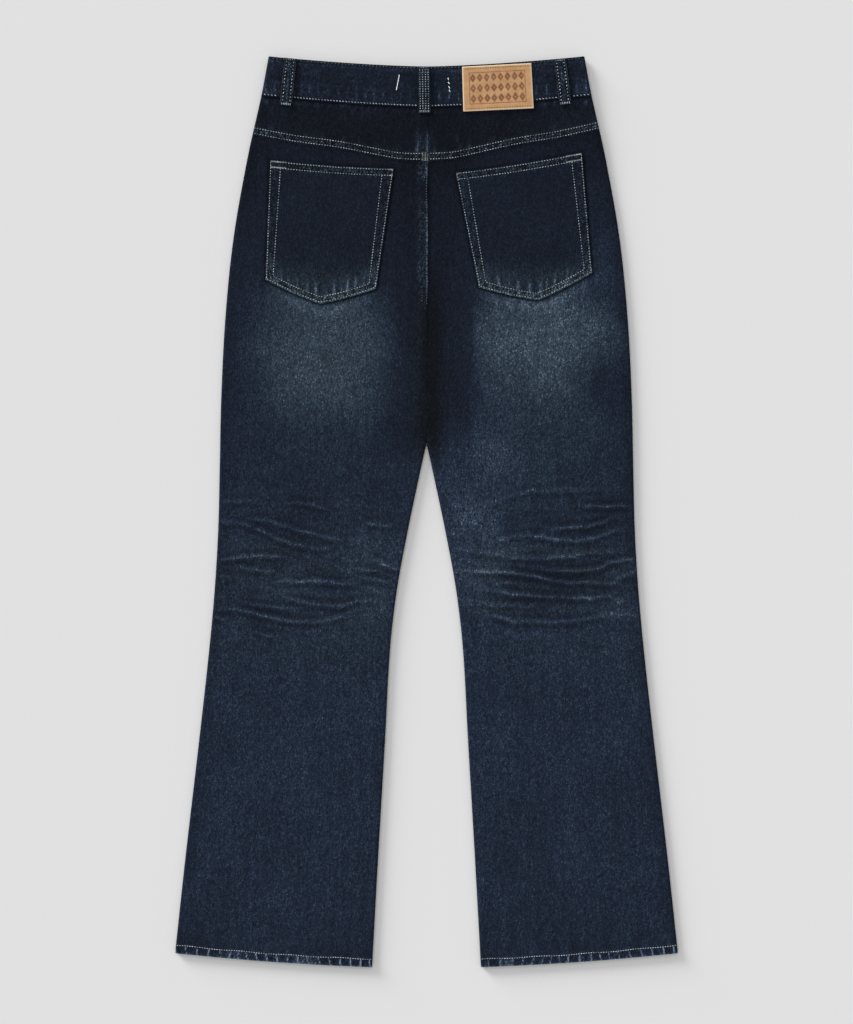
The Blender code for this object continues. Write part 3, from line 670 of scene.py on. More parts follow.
def denim(name, contrast):
    material, tree, place = new_material(name, Roughness=0.88, Specular_IOR_Level=0.05,
                                         Sheen_Weight=0.02, Sheen_Roughness=0.5)
    fade, teal, rub = attributes(tree, ("fade", "teal", "rub"))
    along = add_node(tree, "Mapping", {"Vector": place, "Scale": (1.0, FLOAT_WIDTH / FLOAT_LENGTH, 1.0)})
    warp = add_node(tree, "TexVoronoi", {"Vector": along, "Scale": 1 / (FLOAT_WIDTH * MM)}, "Color")
    speck = add_node(tree, "TexVoronoi", {"Vector": place, "Scale": 1 / (SPECK * MM)}, "Color")
    both = add_node(tree, "Math", {0: warp, 1: speck}, operation="ADD")
    floats = add_node(tree, "MapRange", {"Value": both, "From Min": 0.5, "From Max": 1.5,
                                         "To Min": -1.1, "To Max": 0.9}, clamp=False)
    bare = add_node(tree, "Math", {0: speck, 1: 5.0}, operation="POWER")
    grain = add_node(tree, "Math", {0: bare, 1: BARE_YARN, 2: floats}, operation="MULTIPLY_ADD")
    plenty = add_node(tree, "MapRange", {"Value": fade, "From Min": 0.25, "From Max": 0.62,
                                         "To Min": 0.11 * contrast, "To Max": 0.22 * contrast})
    even = add_node(tree, "MapRange", {"Value": teal, "To Min": plenty, "To Max": 0.14 * contrast})
    amount = add_node(tree, "Math", {0: rub, 1: RUBBED, 2: even}, operation="MULTIPLY_ADD")
    tone = add_node(tree, "Math", {0: grain, 1: amount, 2: fade}, operation="MULTIPLY_ADD")
    blue, green = (add_node(tree, "ValToRGB", {"Fac": tone}, stops=stops) for stops in (INDIGO, TEAL))
    colour = add_node(tree, "Mix", {"Factor": teal, 6: blue, 7: green}, 2, data_type="RGBA")
    twill = add_node(tree, "TexWave", {"Vector": place, "Scale": WAVE_SCALE / (WALE * MM),
                                       "Distortion": 0.6, "Detail": 1.0}, "Fac",
                     bands_direction="DIAGONAL")
    height = add_node(tree, "Math", {0: twill, 1: 0.3, 2: warp.node.outputs["Distance"]},
                      operation="MULTIPLY_ADD")
    surface(tree, height, 0.5, 0.00025, colour)
    return material


# The inner face of the same cloth, where the undyed weft lies uppermost: pale blue-grey
reverse, tree, place = new_material("denim_reverse", Roughness=0.9, Specular_IOR_Level=0.12)
speck = add_node(tree, "TexNoise", {"Vector": place, "Scale": 1 / (SPECK * MM), "Detail": 2.0})
surface(tree, speck, 0.5, 0.0002,
        add_node(tree, "ValToRGB", {"Fac": speck}, stops=((0.35, "#4A5564"), (0.65, "#98A2AE"))))

leg_denim = denim("washed_indigo_denim", 1.0)
SIDES = (("left", -1), ("right", 1))

for side_name, side in SIDES:
    heights = levels(BACK_ROWS)

    def lay_back(column, row):
        x, y, drop = settled("back", side, column, BACK_SPANS,
                             lambda x, across: leg_height(heights, yoke_seam, row, x, across))
        hem = hem_way(x, y)
        ridge = folded_edge(hem, *HEM_SLOPE, ripple=ROPE_RISE * rope(x, hem) * bump(hem, 4.5, 3.4))
        fell = 0.0
        if side < 0:
            way = side * x - inner_edge("back", side, y)
            flat = (1.0 - np.minimum(1.0, CURL_LEAD * inseam_curl(y))) * ease(*FELL_LOW, y)
            fell = (folded_edge(way, *FELL_SLOPE)
                    + 0.12 * waver(0.0, y, 6.0, 31) * bump(way, 5.0, 3.0)) * flat
        relief = np.where(hem < HEM_SLOPE[1], ridge, back_relief(side, x, y) + fell)
        return x, y, LAY_HEIGHT - drop + lift(y) + relief * flatness(drop)

    piece, (x, y, _) = shell("back_leg_" + side_name, panel_columns(BACK_SPANS),
                             len(HEM_ROWS) + len(heights), lay_back, (leg_denim, reverse))
    fade, teal = back_wash(x, y)
    rubbed = ease(*FELL_WORN, y) * (1.0 - 1.1 * bump(y, *FELL_MISSED))
    band = (ease(*FELL_BAND[:2], x) * ease(*FELL_BAND[2:], x)) * rubbed
    fade += band * (0.08 + 0.05 * waver(x, y, (9.0, 14.0), 33) + 0.12 * bump(y, FELL_PALE, 10.0))
    fade += 0.80 * bump(x, 0.8, 0.8) * rubbed * (0.85 + 0.3 * waver(0.0, y, 9.0, 34))
    # Painted shadow: a thin dark line on the right panel just beside the folded edge of the centre seam
    fade -= 0.20 * bump(x, 2.8, 1.4) * ease(215.0, 270.0, y)
    rub = band * (0.45 + 0.5 * bump(y, FELL_PALE, 12.0)) + 0.3 * bump(hem_way(x, y), 4.0, 4.0)
    paint(piece, fade=fade, teal=np.clip(teal + 0.5 * band, 0.0, 1.0), rub=rub)
    lay_cloth(piece, "back_" + side_name, ["front_leg_" + side_name])

# ---- Back yokes ----
# The shaped piece above each back panel, of the same denim but hardly faded. Its lower edge is
# folded over the panel and sewn down in two rows, which pucker the fold.
YOKE_ROWS = (0.0, 0.5, 1.3, 3.2, 5.2, 7.2, 8.8, 10.0, 11.4)
YOKE_UPPER_ROWS = 30
YOKE_PLATEAU = 8.8
YOKE_WORN_TOP = (440.0, 430.0)  # the rubbed lines beside the centre seam fade out between these
FellLine = namedtuple("FellLine", "x reach fade")
FELL_LINES = (FellLine(-10.6, 1.8, 0.34), FellLine(-5.0, 3.0, 0.12), FellLine(0.8, 1.0, 0.6))
PUCKER_PITCH = 7.6
top_denim = denim("dark_indigo_denim", 1.0)


def seam_puckers(x, way, middle, reach, seed):
    """Small ripples that two rows of stitching draw into a fold: -1 to 1."""
    phase = math.tau * x / PUCKER_PITCH + 2.4 * waver(x, 0.0, 26.0, seed)
    return np.sin(phase + 0.35 * (way - middle)) * bump(way, middle, reach)


for side_name, side in SIDES:
    def yoke_height(row, x):
        share = (row - len(YOKE_ROWS) + 1) / YOKE_UPPER_ROWS
        seam = yoke_seam(x)
        return np.where(row < len(YOKE_ROWS), seam + from_table(YOKE_ROWS, row),
                        mix(seam + YOKE_ROWS[-1], back_seam(x) - GAP, share))

    def lay_yoke(column, row):
        x, y, drop = settled("back", side, column, BACK_SPANS,
                             lambda x, across: yoke_height(row, x))
        way = y - yoke_seam(x)
        fold = (folded_edge(way, YOKE_PLATEAU, YOKE_ROWS[-1], 1.3)
                + 0.13 * seam_puckers(x, way, 5.4, 3.0, 51))
        below_band = back_seam(x) - y
        fold += 0.12 * seam_puckers(x, below_band, 6.0, 5.0, 52)
        if side < 0:
            fold = np.maximum(fold, folded_edge(side * x - inner_edge("back", side, y), *FELL_SLOPE))
        fold += 0.2 * waver(x, y, 40.0, 53) * ease(12.0, 24.0, way) * ease(0, 12, below_band)
        return x, y, LAY_HEIGHT - drop + lift(y) + fold * flatness(drop)

    piece, (x, y, _) = shell("back_yoke_" + side_name, panel_columns(BACK_SPANS),
                             len(YOKE_ROWS) - 1 + YOKE_UPPER_ROWS, lay_yoke, (top_denim, reverse))
    way = y - yoke_seam(x)
    below_band = back_seam(x) - y

    # The flat of the yoke: dark, with short pale streaks near its seams
    fade = 0.08 + 0.0001 * x + 0.06 * ease(80.0, 190.0, np.abs(x)) + 0.03 * waver(x, y, 30.0, 54)
    fade += 0.035 * waver(x, y, (5.0, 16.0), 57) - 0.06 * bump(np.hypot(x, y - 446.0), 0.0, 30.0)
    streaks = crests(waver(x, y, (3.6, 13.0), 58), 2)
    fade += 0.30 * streaks * bump(x, 0.0, 80.0) * bump(y, 420.0, 16.0)
    fade += 0.55 * streaks * bump(below_band, 4.0, 7.0) * ease(20.0, 50.0, np.abs(x))
    fade += 0.25 * streaks * bump(way, 13.0, 4.0)

    # Its folds: pale puckers and edges, and the lines beside the centre seam
    band = bump(way, 5.6, 3.4)
    fade += band * (0.05 + 0.10 * waver(x, way, (6.0, 3.0), 59))
    fade += 0.30 * crests(seam_puckers(x, way, 5.4, 2.4, 51), 3)
    fade += 0.22 * crests(seam_puckers(x, below_band, 4.0, 3.4, 52), 3)
    fade += 0.24 * bump(way, 0.3, 0.7) * (0.6 + 0.4 * waver(x, 0.0, 3.0, 60))
    fade -= 0.08 * bump(below_band, 0.0, 2.0)
    for line in FELL_LINES:
        fade += line.fade * bump(x, line.x, line.reach) * ease(*YOKE_WORN_TOP, y) * (way > 10.0)
    centre = bump(x, -5.0, 6.0) * ease(*YOKE_WORN_TOP, y)
    paint(piece, fade=fade, teal=0.1 + 0.7 * np.maximum(band, centre), rub=1.1 * band + 0.3 * centre)
    lay_cloth(piece, "yoke_" + side_name, ["back_leg_" + side_name])

# ---- Back pockets ----
# Five-cornered patches of denim laid on the back panels, hemmed at the mouth and sewn down all
# round in two rows. Their edges and points are rubbed pale, and the foot is puckered.
Pocket = namedtuple("Pocket", "side outer_top inner_top inner_bottom tip outer_bottom")
POCKETS = (
    Pocket("left", (-178.4, 401.0), (-37.1, 391.3), (-57.6, 254.5), (-121.4, 237.4),
           (-183.5, 264.8)),
    Pocket("right", (177.3, 409.5), (33.1, 386.7), (59.9, 256.2), (127.1, 241.4), (188.7, 272.7)),
)
POCKET_COLUMNS = 120
POCKET_HEM_ROWS = (0.0, 0.5, 1.4, 3.2, 5.2, 7.2, 8.6, 10.0, 11.4)
POCKET_LOWER_ROWS = 104
POCKET_RAISE = 0.5
Pucker = namedtuple("Pucker", "x reach length pale")
FOOT_PUCKERS = {
    "left": (Pucker(-147.0, 1.3, 9.0, 0.20), Pucker(-135.0, 1.5, 9.0, 0.34),
             Pucker(-126.0, 1.8, 13.0, 0.40), Pucker(-114.0, 1.2, 8.0, 0.22),
             Pucker(-105.5, 1.6, 12.0, 0.36), Pucker(-97.0, 1.2, 7.0, 0.22),
             Pucker(-90.6, 1.5, 10.0, 0.42), Pucker(-81.5, 1.5, 9.0, 0.36),
             Pucker(-72.0, 1.3, 12.0, 0.26), Pucker(-165.0, 1.4, 8.0, 0.24)),
    "right": (Pucker(83.0, 1.7, 11.0, 0.34), Pucker(95.0, 1.2, 8.0, 0.20),
              Pucker(105.0, 2.2, 10.0, 0.34), Pucker(118.0, 2.0, 10.0, 0.36),
              Pucker(130.5, 1.6, 13.0, 0.34), Pucker(137.0, 1.3, 10.0, 0.30),
              Pucker(146.0, 1.5, 10.0, 0.34), Pucker(160.0, 1.6, 9.0, 0.32),
              Pucker(165.0, 1.3, 8.0, 0.26), Pucker(72.0, 1.3, 8.0, 0.18)),
}
MOUTH_SAG = 1.7                 # the mouth hangs below a straight line, and so does the foot
FOOT_SAG = 1.4


def sag(share, depth):
    """How far an edge hangs below the straight line between its ends."""
    return 4.0 * depth * share * (1.0 - share)


def pocket_edges(shape, share):
    """Top and bottom points of a pocket at a share of its width, from its outer side."""
    top = [mix(a, b, share) for a, b in zip(shape.outer_top, shape.inner_top)]
    first = np.clip(share * 2.0, 0.0, 1.0)
    second = np.clip(share * 2.0 - 1.0, 0.0, 1.0)
    bottom = [mix(mix(a, b, first), c, second)
              for a, b, c in zip(shape.outer_bottom, shape.tip, shape.inner_bottom)]
    top[1] = top[1] - sag(share, MOUTH_SAG)
    bottom[1] = bottom[1] - sag(first, FOOT_SAG) - sag(second, FOOT_SAG)
    return top, bottom


def from_line(shape, x, y, start, end, depth=0.0):
    """Distance of points from a pocket's edge between two corners, positive inside it."""
    run = (end[0] - start[0], end[1] - start[1])
    share = np.clip((x - start[0]) / (run[0] if run[0] else 1.0), 0.0, 1.0)
    y = y + sag(share, depth)
    middle = [sum(corner[axis] for corner in shape[1:]) / 5 for axis in (0, 1)]
    inside = (middle[0] - start[0]) * run[1] - (middle[1] - start[1]) * run[0]
    off = (x - start[0]) * run[1] - (y - start[1]) * run[0]
    return off * math.copysign(1.0, inside) / math.hypot(*run)


def pocket_ways(shape, x, y):
    """Distances from the mouth, the outer side, the inner side and the pointed foot."""
    return (from_line(shape, x, y, shape.outer_top, shape.inner_top, MOUTH_SAG),
            from_line(shape, x, y, shape.outer_top, shape.outer_bottom),
            from_line(shape, x, y, shape.inner_top, shape.inner_bottom),
            np.minimum(from_line(shape, x, y, shape.outer_bottom, shape.tip, FOOT_SAG),
                       from_line(shape, x, y, shape.inner_bottom, shape.tip, FOOT_SAG)))


for shape in POCKETS:
    side = -1 if shape.side == "left" else 1

    def lay_pocket(column, row):
        share = column / POCKET_COLUMNS
        top, bottom = pocket_edges(shape, share)
        length = np.hypot(top[0] - bottom[0], top[1] - bottom[1])
        hem = from_table(POCKET_HEM_ROWS, row) / length
        rest = (row - len(POCKET_HEM_ROWS) + 1) / POCKET_LOWER_ROWS
        down = np.where(row < len(POCKET_HEM_ROWS), hem,
                        mix(POCKET_HEM_ROWS[-1] / length, 1.0, rest))
        x, y = mix(top[0], bottom[0], down), mix(top[1], bottom[1], down)
        mouth, outer, inner, foot = pocket_ways(shape, x, y)
        rim = np.minimum(np.minimum(outer, inner), foot)
        raised = POCKET_RAISE * (0.4 + 0.6 * ease(0.0, 1.3, mouth))
        raised *= 1.0 - ease(9.0, 11.4, mouth)
        raised += 0.10 * seam_puckers(x, mouth, 5.0, 3.0, 61)
        raised += 0.14 * seam_puckers(x, foot, 9.0, 7.0, 62) * ease(20.0, 60.0, mouth)
        raised += 0.10 * seam_puckers(y, np.minimum(outer, inner), 5.0, 4.0, 63)
        raised -= 0.30 * bump(rim, 0.0, 0.9)
        raised += 0.22 * waver(x, y, 38.0, 64) * ease(8.0, 24.0, rim)
        return x, y, (LAY_HEIGHT + GAP + WALL + lift(y) + raised
                      + back_relief(side, x, y))

    piece, (x, y, _) = shell("back_pocket_" + shape.side, POCKET_COLUMNS,
                             len(POCKET_HEM_ROWS) - 1 + POCKET_LOWER_ROWS, lay_pocket,
                             (top_denim, reverse))
    mouth, outer, inner, foot = pocket_ways(shape, x, y)
    sides = np.minimum(outer, inner)

    # The flat of the pocket, pale towards its foot, where each pucker has a dark trough beside it
    fade = 0.21 + 0.03 * waver(x, y, 34.0, 65) + 0.015 * waver(x, y, (3.4, 34.0), 66)
    fade += 0.20 * bump(foot, 8.0, 27.0) * ease(308.0, 262.0, y)
    for pucker in FOOT_PUCKERS[shape.side]:
        off = x - pucker.x - 0.04 * (foot - 9.0) * (pucker.x - shape.tip[0]) / 10.0
        fade += pucker.pale * bump(off, 0.0, pucker.reach) * bump(foot, 12.0, 0.7 * pucker.length)
        fade -= (0.3 * pucker.pale * bump(off, 2.4 * pucker.reach, 1.4 * pucker.reach)
                 * bump(foot, 12.0, 7.0))

    # Between its two rows of stitches, and its rubbed edges
    fade += 0.16 * crests(seam_puckers(x, mouth, 4.4, 2.4, 61), 3)
    bands = np.maximum(0.55 * bump(sides, 5.0, 4.6),
                       np.maximum(bump(foot, 4.2, 3.2), bump(mouth, 4.6, 3.6)))
    fade += bands * (0.10 * waver(x, y, (5.0, 5.0), 69) - 0.02)
    worn = 0.6 + 0.4 * waver(x, y, 4.0, 67)
    fade += 0.50 * bump(sides, 0.0, 0.8) * worn * ease(14.0, 60.0, mouth)
    fade += 0.60 * bump(foot, 0.0, 0.9) * (0.4 + 0.6 * worn) + 0.24 * bump(mouth, 0.0, 0.8)
    fade += 0.20 * bump(mouth, 10.4, 0.9) * (0.7 + 0.3 * waver(x, y, 5.0, 70))
    teal = np.clip(0.55 * ease(320.0, 260.0, y) + 0.7 * bands, 0.0, 1.0)
    paint(piece, fade=fade, teal=teal, rub=bands)
    lay_cloth(piece, "pocket_" + shape.side, ["back_leg_" + shape.side])

    # Painted shadow and dye: the leg is dark just outside the pocket's edge, shaded by the raised edge
    # and left unrubbed by the wash
    leg = cloth["back_" + shape.side]
    x, y, _ = points_of(leg)
    mouth, outer, inner, foot = pocket_ways(shape, x, y)
    sides = np.minimum(outer, inner)
    outside = -np.minimum(sides, np.minimum(foot, mouth))
    values = np.empty(len(x))
    leg.data.attributes["fade"].data.foreach_get("value", values)
    values -= 0.34 * bump(outside, 0.9, 1.4)
    # Painted light: a paler strip on the leg below the pocket's foot, lifting the shadow that the pocket
    # casts there
    values += 0.13 * bump(-foot, 8.0, 6.0) * (outside > 0.0) * ease(-2.0, 12.0, sides)
    leg.data.attributes["fade"].data.foreach_set("value", values.astype(np.float32))

# ---- Front leg panels ----
# They lie face down on the table, so their outside is flat. Each is cut away in a scoop at its
# pocket, and the left one also where the fly is let in. Their knees have soft worn troughs.
FRONT_ROWS = (RowBand(-484.0, -168.0, 9.0), RowBand(-168.0, 48.0, 4.0), RowBand(48.0, 125.0, 4.0),
              RowBand(125.0, 380.0, 9.0), RowBand(380.0, 443.0, 5.0))
FRONT_SPANS = 44
SCOOP_WIDTH = 85.0
SCOOP_DEPTH = 75.0
SCOOP_STEPS = 24
FLY_WIDTH = 40.0
FLY_CURVE = 48.0
FLY_CURVE_ROWS = 16
FLY_STRAIGHT_ROWS = 22
CUT_DEPTH = 60.0


def scoop_way_in(y):
    """Distance from the side edge to the scoop's edge at height y."""
    down = np.clip((WAIST_SEAM_CORNER - y) / SCOOP_DEPTH, 0.0, 1.0)
    return SCOOP_WIDTH * np.sqrt(1.0 - down**2)


def scoop_line(side, offset):
    """Points along a scoop's edge, offset into the panel."""
    angle = np.linspace(0.0, math.pi / 2, SCOOP_STEPS + 1)
    y = WAIST_SEAM_CORNER - (SCOOP_DEPTH + offset) * np.sin(angle)
    x = side * (side_edge(y) - (SCOOP_WIDTH + offset) * np.cos(angle))
    return x, y


def fly_way(y, grow):
    """Distance from the fly's edge to its curved seam at height y, grown by a margin."""
    foot = front_seam(0.0) - FLY_LENGTH - grow
    up = np.clip((y - foot) / (FLY_CURVE + grow), 0.0, 1.0)
    return (FLY_WIDTH + grow) * np.sqrt(1.0 - (1.0 - up) ** 2)


def fly_heights():
    """Heights of the fly's rows: close together round its foot, then even."""
    foot = front_seam(0.0) - FLY_LENGTH
    angle = np.linspace(0.0, math.pi / 2, FLY_CURVE_ROWS + 1)[1:]
    curve = foot + FLY_CURVE * (1 - np.cos(angle))
    return np.concatenate((curve, np.linspace(curve[-1], front_seam(0.0) - GAP,
                                              FLY_STRAIGHT_ROWS + 1)[1:]))


def cut_away(piece, outline):
    """Cuts an upright prism with the given outline out of a piece."""
    bpy.ops.mesh.primitive_circle_add(vertices=len(outline), fill_type="NGON")
    cutter = bpy.context.object
    for point, (x, y) in zip(cutter.data.vertices, outline):
        point.co = (x * MM, y * MM, -CUT_DEPTH / 2 * MM)
    bpy.ops.object.mode_set(mode="EDIT")
    bpy.ops.mesh.select_all(action="SELECT")
    bpy.ops.mesh.extrude_region_move(TRANSFORM_OT_translate={"value": (0, 0, CUT_DEPTH * MM)})
    bpy.ops.mesh.select_all(action="SELECT")
    bpy.ops.mesh.normals_make_consistent(inside=False)
    bpy.ops.object.mode_set(mode="OBJECT")
    boolean = piece.modifiers.new("Cut", "BOOLEAN")
    boolean.operation = "DIFFERENCE"
    boolean.solver = "EXACT"
    boolean.object = cutter
    bpy.context.view_layer.objects.active = piece
    bpy.ops.object.modifier_apply(modifier=boolean.name)
    bpy.data.objects.remove(cutter)


def front_wash(x, y):
    """The front is worn as the back is: pale on the thighs, dark beside the seams, with the creases'
    painted shade.
    """
    fade = on_curve(LEG_FADE, y)
    thigh = bump(np.abs(x), 128.0, 62.0) * bump(y, 190.0, 120.0)
    fade = fade + 0.30 * thigh + 0.05 * waver(x, y, 44.0, 71) + 0.04 * waver(x, y, (5.0, 60.0), 72)
    fade -= 0.2 * bump(x, 0.0, 30.0) * on_seat(y)
    return fade + creases(x, y)[1], 0.7 * thigh


for side_name, side in SIDES:
    heights = levels(FRONT_ROWS)

    def lay_front(column, row):
        x, y, drop = settled("front", side, column, FRONT_SPANS,
                             lambda x, across: leg_height(heights, front_seam, row, x, across))
        hollow = 0.4 * crests(creases(x, y)[0]) * keep_off_seams("front", side, x, y)
        return x, y, drop + lift(y) + np.minimum(hollow, 0.5)

    piece, _ = shell("front_leg_" + side_name, panel_columns(FRONT_SPANS), len(HEM_ROWS) + len(heights),
                     lay_front, (leg_denim, reverse), -1)
    scoop_x, scoop_y = scoop_line(side, 0.0)
    far = side * (side_edge(scoop_y[-1]) + EDGE_ROUND)
    top = WAIST_SEAM_CORNER + EDGE_ROUND
    cut_away(piece, list(zip(scoop_x, scoop_y)) + [(far, scoop_y[-1]), (far, top), (scoop_x[0], top)])
    if side < 0:
        y = fly_heights()[:FLY_CURVE_ROWS]
        x = centre_line("front", y) - GAP / 2 - fly_way(y, GAP)
        top = front_seam(0.0) + FLY_CURVE
        right = FLY_EDGE + FLY_WIDTH
        foot = front_seam(0.0) - FLY_LENGTH - GAP
        cut_away(piece, list(zip(x, y)) + [(x[-1], top), (right, top), (right, foot)])
    x, y, _ = points_of(piece)
    fade, teal = front_wash(x, y)
    paint(piece, fade=fade, teal=teal)
    lay_cloth(piece, "front_" + side_name, ["table_top"])

# ---- Front pocket facings ----
# The dark denim that shows in each front pocket's scoop: level with the panel at the side seam,
# then tucked in under it.
FACING_LAP = 18.0
FACING_SLOPE = 11.0
FACING_CLEAR = 3.0
FACING_LOW_ROWS = (2.0, 4.0, 6.5, 10.0, 15.0, 24.0, 38.0)
FACING_UPPER_ROWS = 12
FACING_TUCK = WALL + GAP

for side_name, side in SIDES:
    def lay_facing(column, row):
        foot = WAIST_SEAM_CORNER - SCOOP_DEPTH
        share = np.clip((row - len(FACING_LOW_ROWS) + 1) / FACING_UPPER_ROWS, 0.0, 1.0)
        level = mix(foot + from_table(FACING_LOW_ROWS, row), WAIST_SEAM_CORNER, share)
        pull = ease(foot, WAIST_SEAM_CORNER, level)
        y = level
        falls = np.concatenate((EDGE_FALLS, (0.0, FACING_TUCK, FACING_TUCK)))
        for _ in range(SETTLING_ROUNDS):
            scoop = scoop_way_in(y)
            inner = np.stack((scoop - FACING_CLEAR - FACING_SLOPE, scoop - FACING_CLEAR,
                              scoop + FACING_LAP))
            way = np.where(column < len(EDGE_WAYS), EDGE_WAYS[np.minimum(column, len(EDGE_WAYS) - 1)],
                           inner[np.clip(column - len(EDGE_WAYS), 0, 2), np.arange(len(column))])
            across = side_edge(y) - way
            y = level + (front_seam(across) - GAP - WAIST_SEAM_CORNER) * pull
        return side * across, y, falls[column] + lift(y)

    piece, (x, y, _) = shell("front_facing_" + side_name, len(EDGE_WAYS) + 2,
                             len(FACING_LOW_ROWS) - 1 + FACING_UPPER_ROWS, lay_facing,
                             (top_denim, reverse), -1)
    paint(piece, fade=0.2 + 0.04 * waver(x, y, 12.0, 81), teal=0.0)
    lay_cloth(piece, "facing_" + side_name, ["front_leg_" + side_name])

# ---- Fly ----
# The J-shaped fly front on the left of the centre line, which covers the zip.
FLY_COLUMNS = 20


def lay_fly(column, row):
    heights = fly_heights()
    y = heights[row]
    x = centre_line("front", y) - GAP / 2 - fly_way(y, 0.0) * (1 - column / FLY_COLUMNS)
    y = y + (front_seam(x) - front_seam(0.0)) * ease(heights[FLY_CURVE_ROWS - 1], heights[-1], y)
    return x, y, lift(y)


piece, (x, y, _) = shell("fly_front", FLY_COLUMNS, FLY_CURVE_ROWS + FLY_STRAIGHT_ROWS - 1, lay_fly,
                         (top_denim, reverse), -1)
paint(piece, fade=0.26 + 0.05 * waver(x, y, (6.0, 20.0), 82), teal=0.0)
lay_cloth(piece, "fly", ["table_top"])

# ---- Waistband ----
# One straight strip of doubled denim from the fly round both sides, folded at its top edge. The
# wash has roped the fold and drawn short pale puckers above the seam.
BAND_WALL = 2.4
BAND_HEIGHT = 7.2
BAND_BACK = 290
BAND_FRONT = 70
BAND_FOLD = 10
BAND_ROWS = 40
FOLD_PITCH = 10.5               # between the upright creases above the waistband's seam
EDGE_WAVE_PITCH = 3.9
LOOP_SHELTERS = (-158.5, -2.6, 156.0)       # the band is darker under and beside each loop
LOOP_SHELTER_REACH = 15.0
FRONT, FOLD, BACK = 0, 1, 2
band_parts = ([(FRONT, -1, step / BAND_FRONT) for step in range(BAND_FRONT + 1)]
              + [(FOLD, -1, step / BAND_FOLD) for step in range(1, BAND_FOLD)]
              + [(BACK, 0, 2 * step / BAND_BACK - 1) for step in range(BAND_BACK + 1)]
              + [(FOLD, 1, 1 - step / BAND_FOLD) for step in range(1, BAND_FOLD)]
              + [(FRONT, 1, 1 - step / BAND_FRONT) for step in range(BAND_FRONT + 1)])
band_part, band_side, band_along = (np.array(values) for values in zip(*band_parts))


def edge_waves(x):
    """Where the roped top fold of the waistband stands out: -1 to 1."""
    return np.sin(math.tau * x / EDGE_WAVE_PITCH + 2 * waver(x, 0.0, 20.0, 92))


def lay_band(column, row):
    part, side, along = band_part[column], band_side[column], band_along[column]
    share = row / BAND_ROWS
    # The rows lie closer together near both edges
    up = np.where(share < 0.15, share * 0.6, np.where(share > 0.9, 1 - (1 - share) * 0.5,
                                                      mix(0.09, 0.95, (share - 0.15) / 0.75)))
    half = side_edge(mix(WAIST_SEAM_CORNER, WAIST_CORNER, up)) - EDGE_ROUND
    back_x = along * half
    back_y = mix(back_seam(back_x), back_top(back_x), up)
    front_x = mix(FLY_EDGE + side * GAP / 2, side * half, along)
    front_y = mix(front_seam(front_x), front_top(front_x), up)
    turn = math.pi * along
    fold_x = side * (half + EDGE_ROUND * np.sin(turn))
    fold_y = mix(WAIST_SEAM_CORNER, WAIST_CORNER, up)
    fold_z = BAND_HEIGHT / 2 * (1 - np.cos(turn))
    x = np.choose(part, (front_x, fold_x, back_x))
    y = np.choose(part, (front_y, fold_y, back_y))
    z = np.choose(part, (0.0, fold_z, BAND_HEIGHT))
    above, below = y - back_seam(x), back_top(x) - y
    soft = (0.16 * seam_puckers(x, above, 7.0, 6.0, 91)
            + 0.14 * edge_waves(x) * bump(below, 1.0, 1.6)
            - 0.45 * bump(below, 0.0, 0.8) - 0.35 * bump(above, 0.0, 0.8)
            + 0.15 * waver(x, y, 30.0, 93))
    away = ease(0.0, 12.0, half - np.abs(x))
    return x, y, z + LIFT + np.where(part == BACK, soft * away, 0.0)


piece, (x, y, z) = shell("waistband_cloth", len(band_parts) - 1, BAND_ROWS, lay_band, (top_denim,),
                         wall=BAND_WALL)
above, below = y - back_seam(x), back_top(x) - y
on_back = z > LIFT + BAND_HEIGHT / 2
fade = 0.22 + 0.04 * waver(x, y, 26.0, 94) + 0.03 * waver(x, y, (12.0, 5.0), 98)
wisps = crests(waver(x, y + 0.1 * x, (24.0, 2.6), 95), 2)
fade += 0.22 * wisps * (0.6 + 0.4 * waver(x, y, 30.0, 99))
for middle in LOOP_SHELTERS:
    fade -= on_back * 0.08 * bump(x, middle, LOOP_SHELTER_REACH)
fade += on_back * 0.14 * crests(seam_puckers(x, above, 6.0, 3.0, 91), 3)
folds = crests(np.sin(math.tau * x / FOLD_PITCH + 2.2 * waver(x, 0.0, 31.0, 90)), 5)
folds = folds * bump(above, 11.5, 5.5) + 0.14 * bump(above, 17.5, 1.2)
fade += on_back * 0.46 * folds * (0.8 + 0.4 * waver(x, 0.0, 17.0, 89))
fade += on_back * (0.14 * bump(below, 5.0, 1.6) - 0.35 * bump(below, 0.2, 1.2)
                   + 0.24 * crests(edge_waves(x)) * bump(below, 2.4, 0.9))
fade -= on_back * (0.14 * bump(above, 0.6, 1.6) + 0.10 * bump(below, 3.0, 1.2))
fade += 0.06 * bump(np.abs(x), WAIST_TOP_HALF, 12.0)
paint(piece, fade=fade, teal=0.0, rub=0.12)
BAND_STRIP = (0.7465, 0.0467)   # the strip unrolled, in metres: round both sides, and its height
lay_cloth(piece, "waistband", ["back_yoke_left", "back_yoke_right", "front_leg_left"],
          flat=BAND_STRIP, area=min(cut_area(piece), BAND_STRIP[0] * BAND_STRIP[1]))

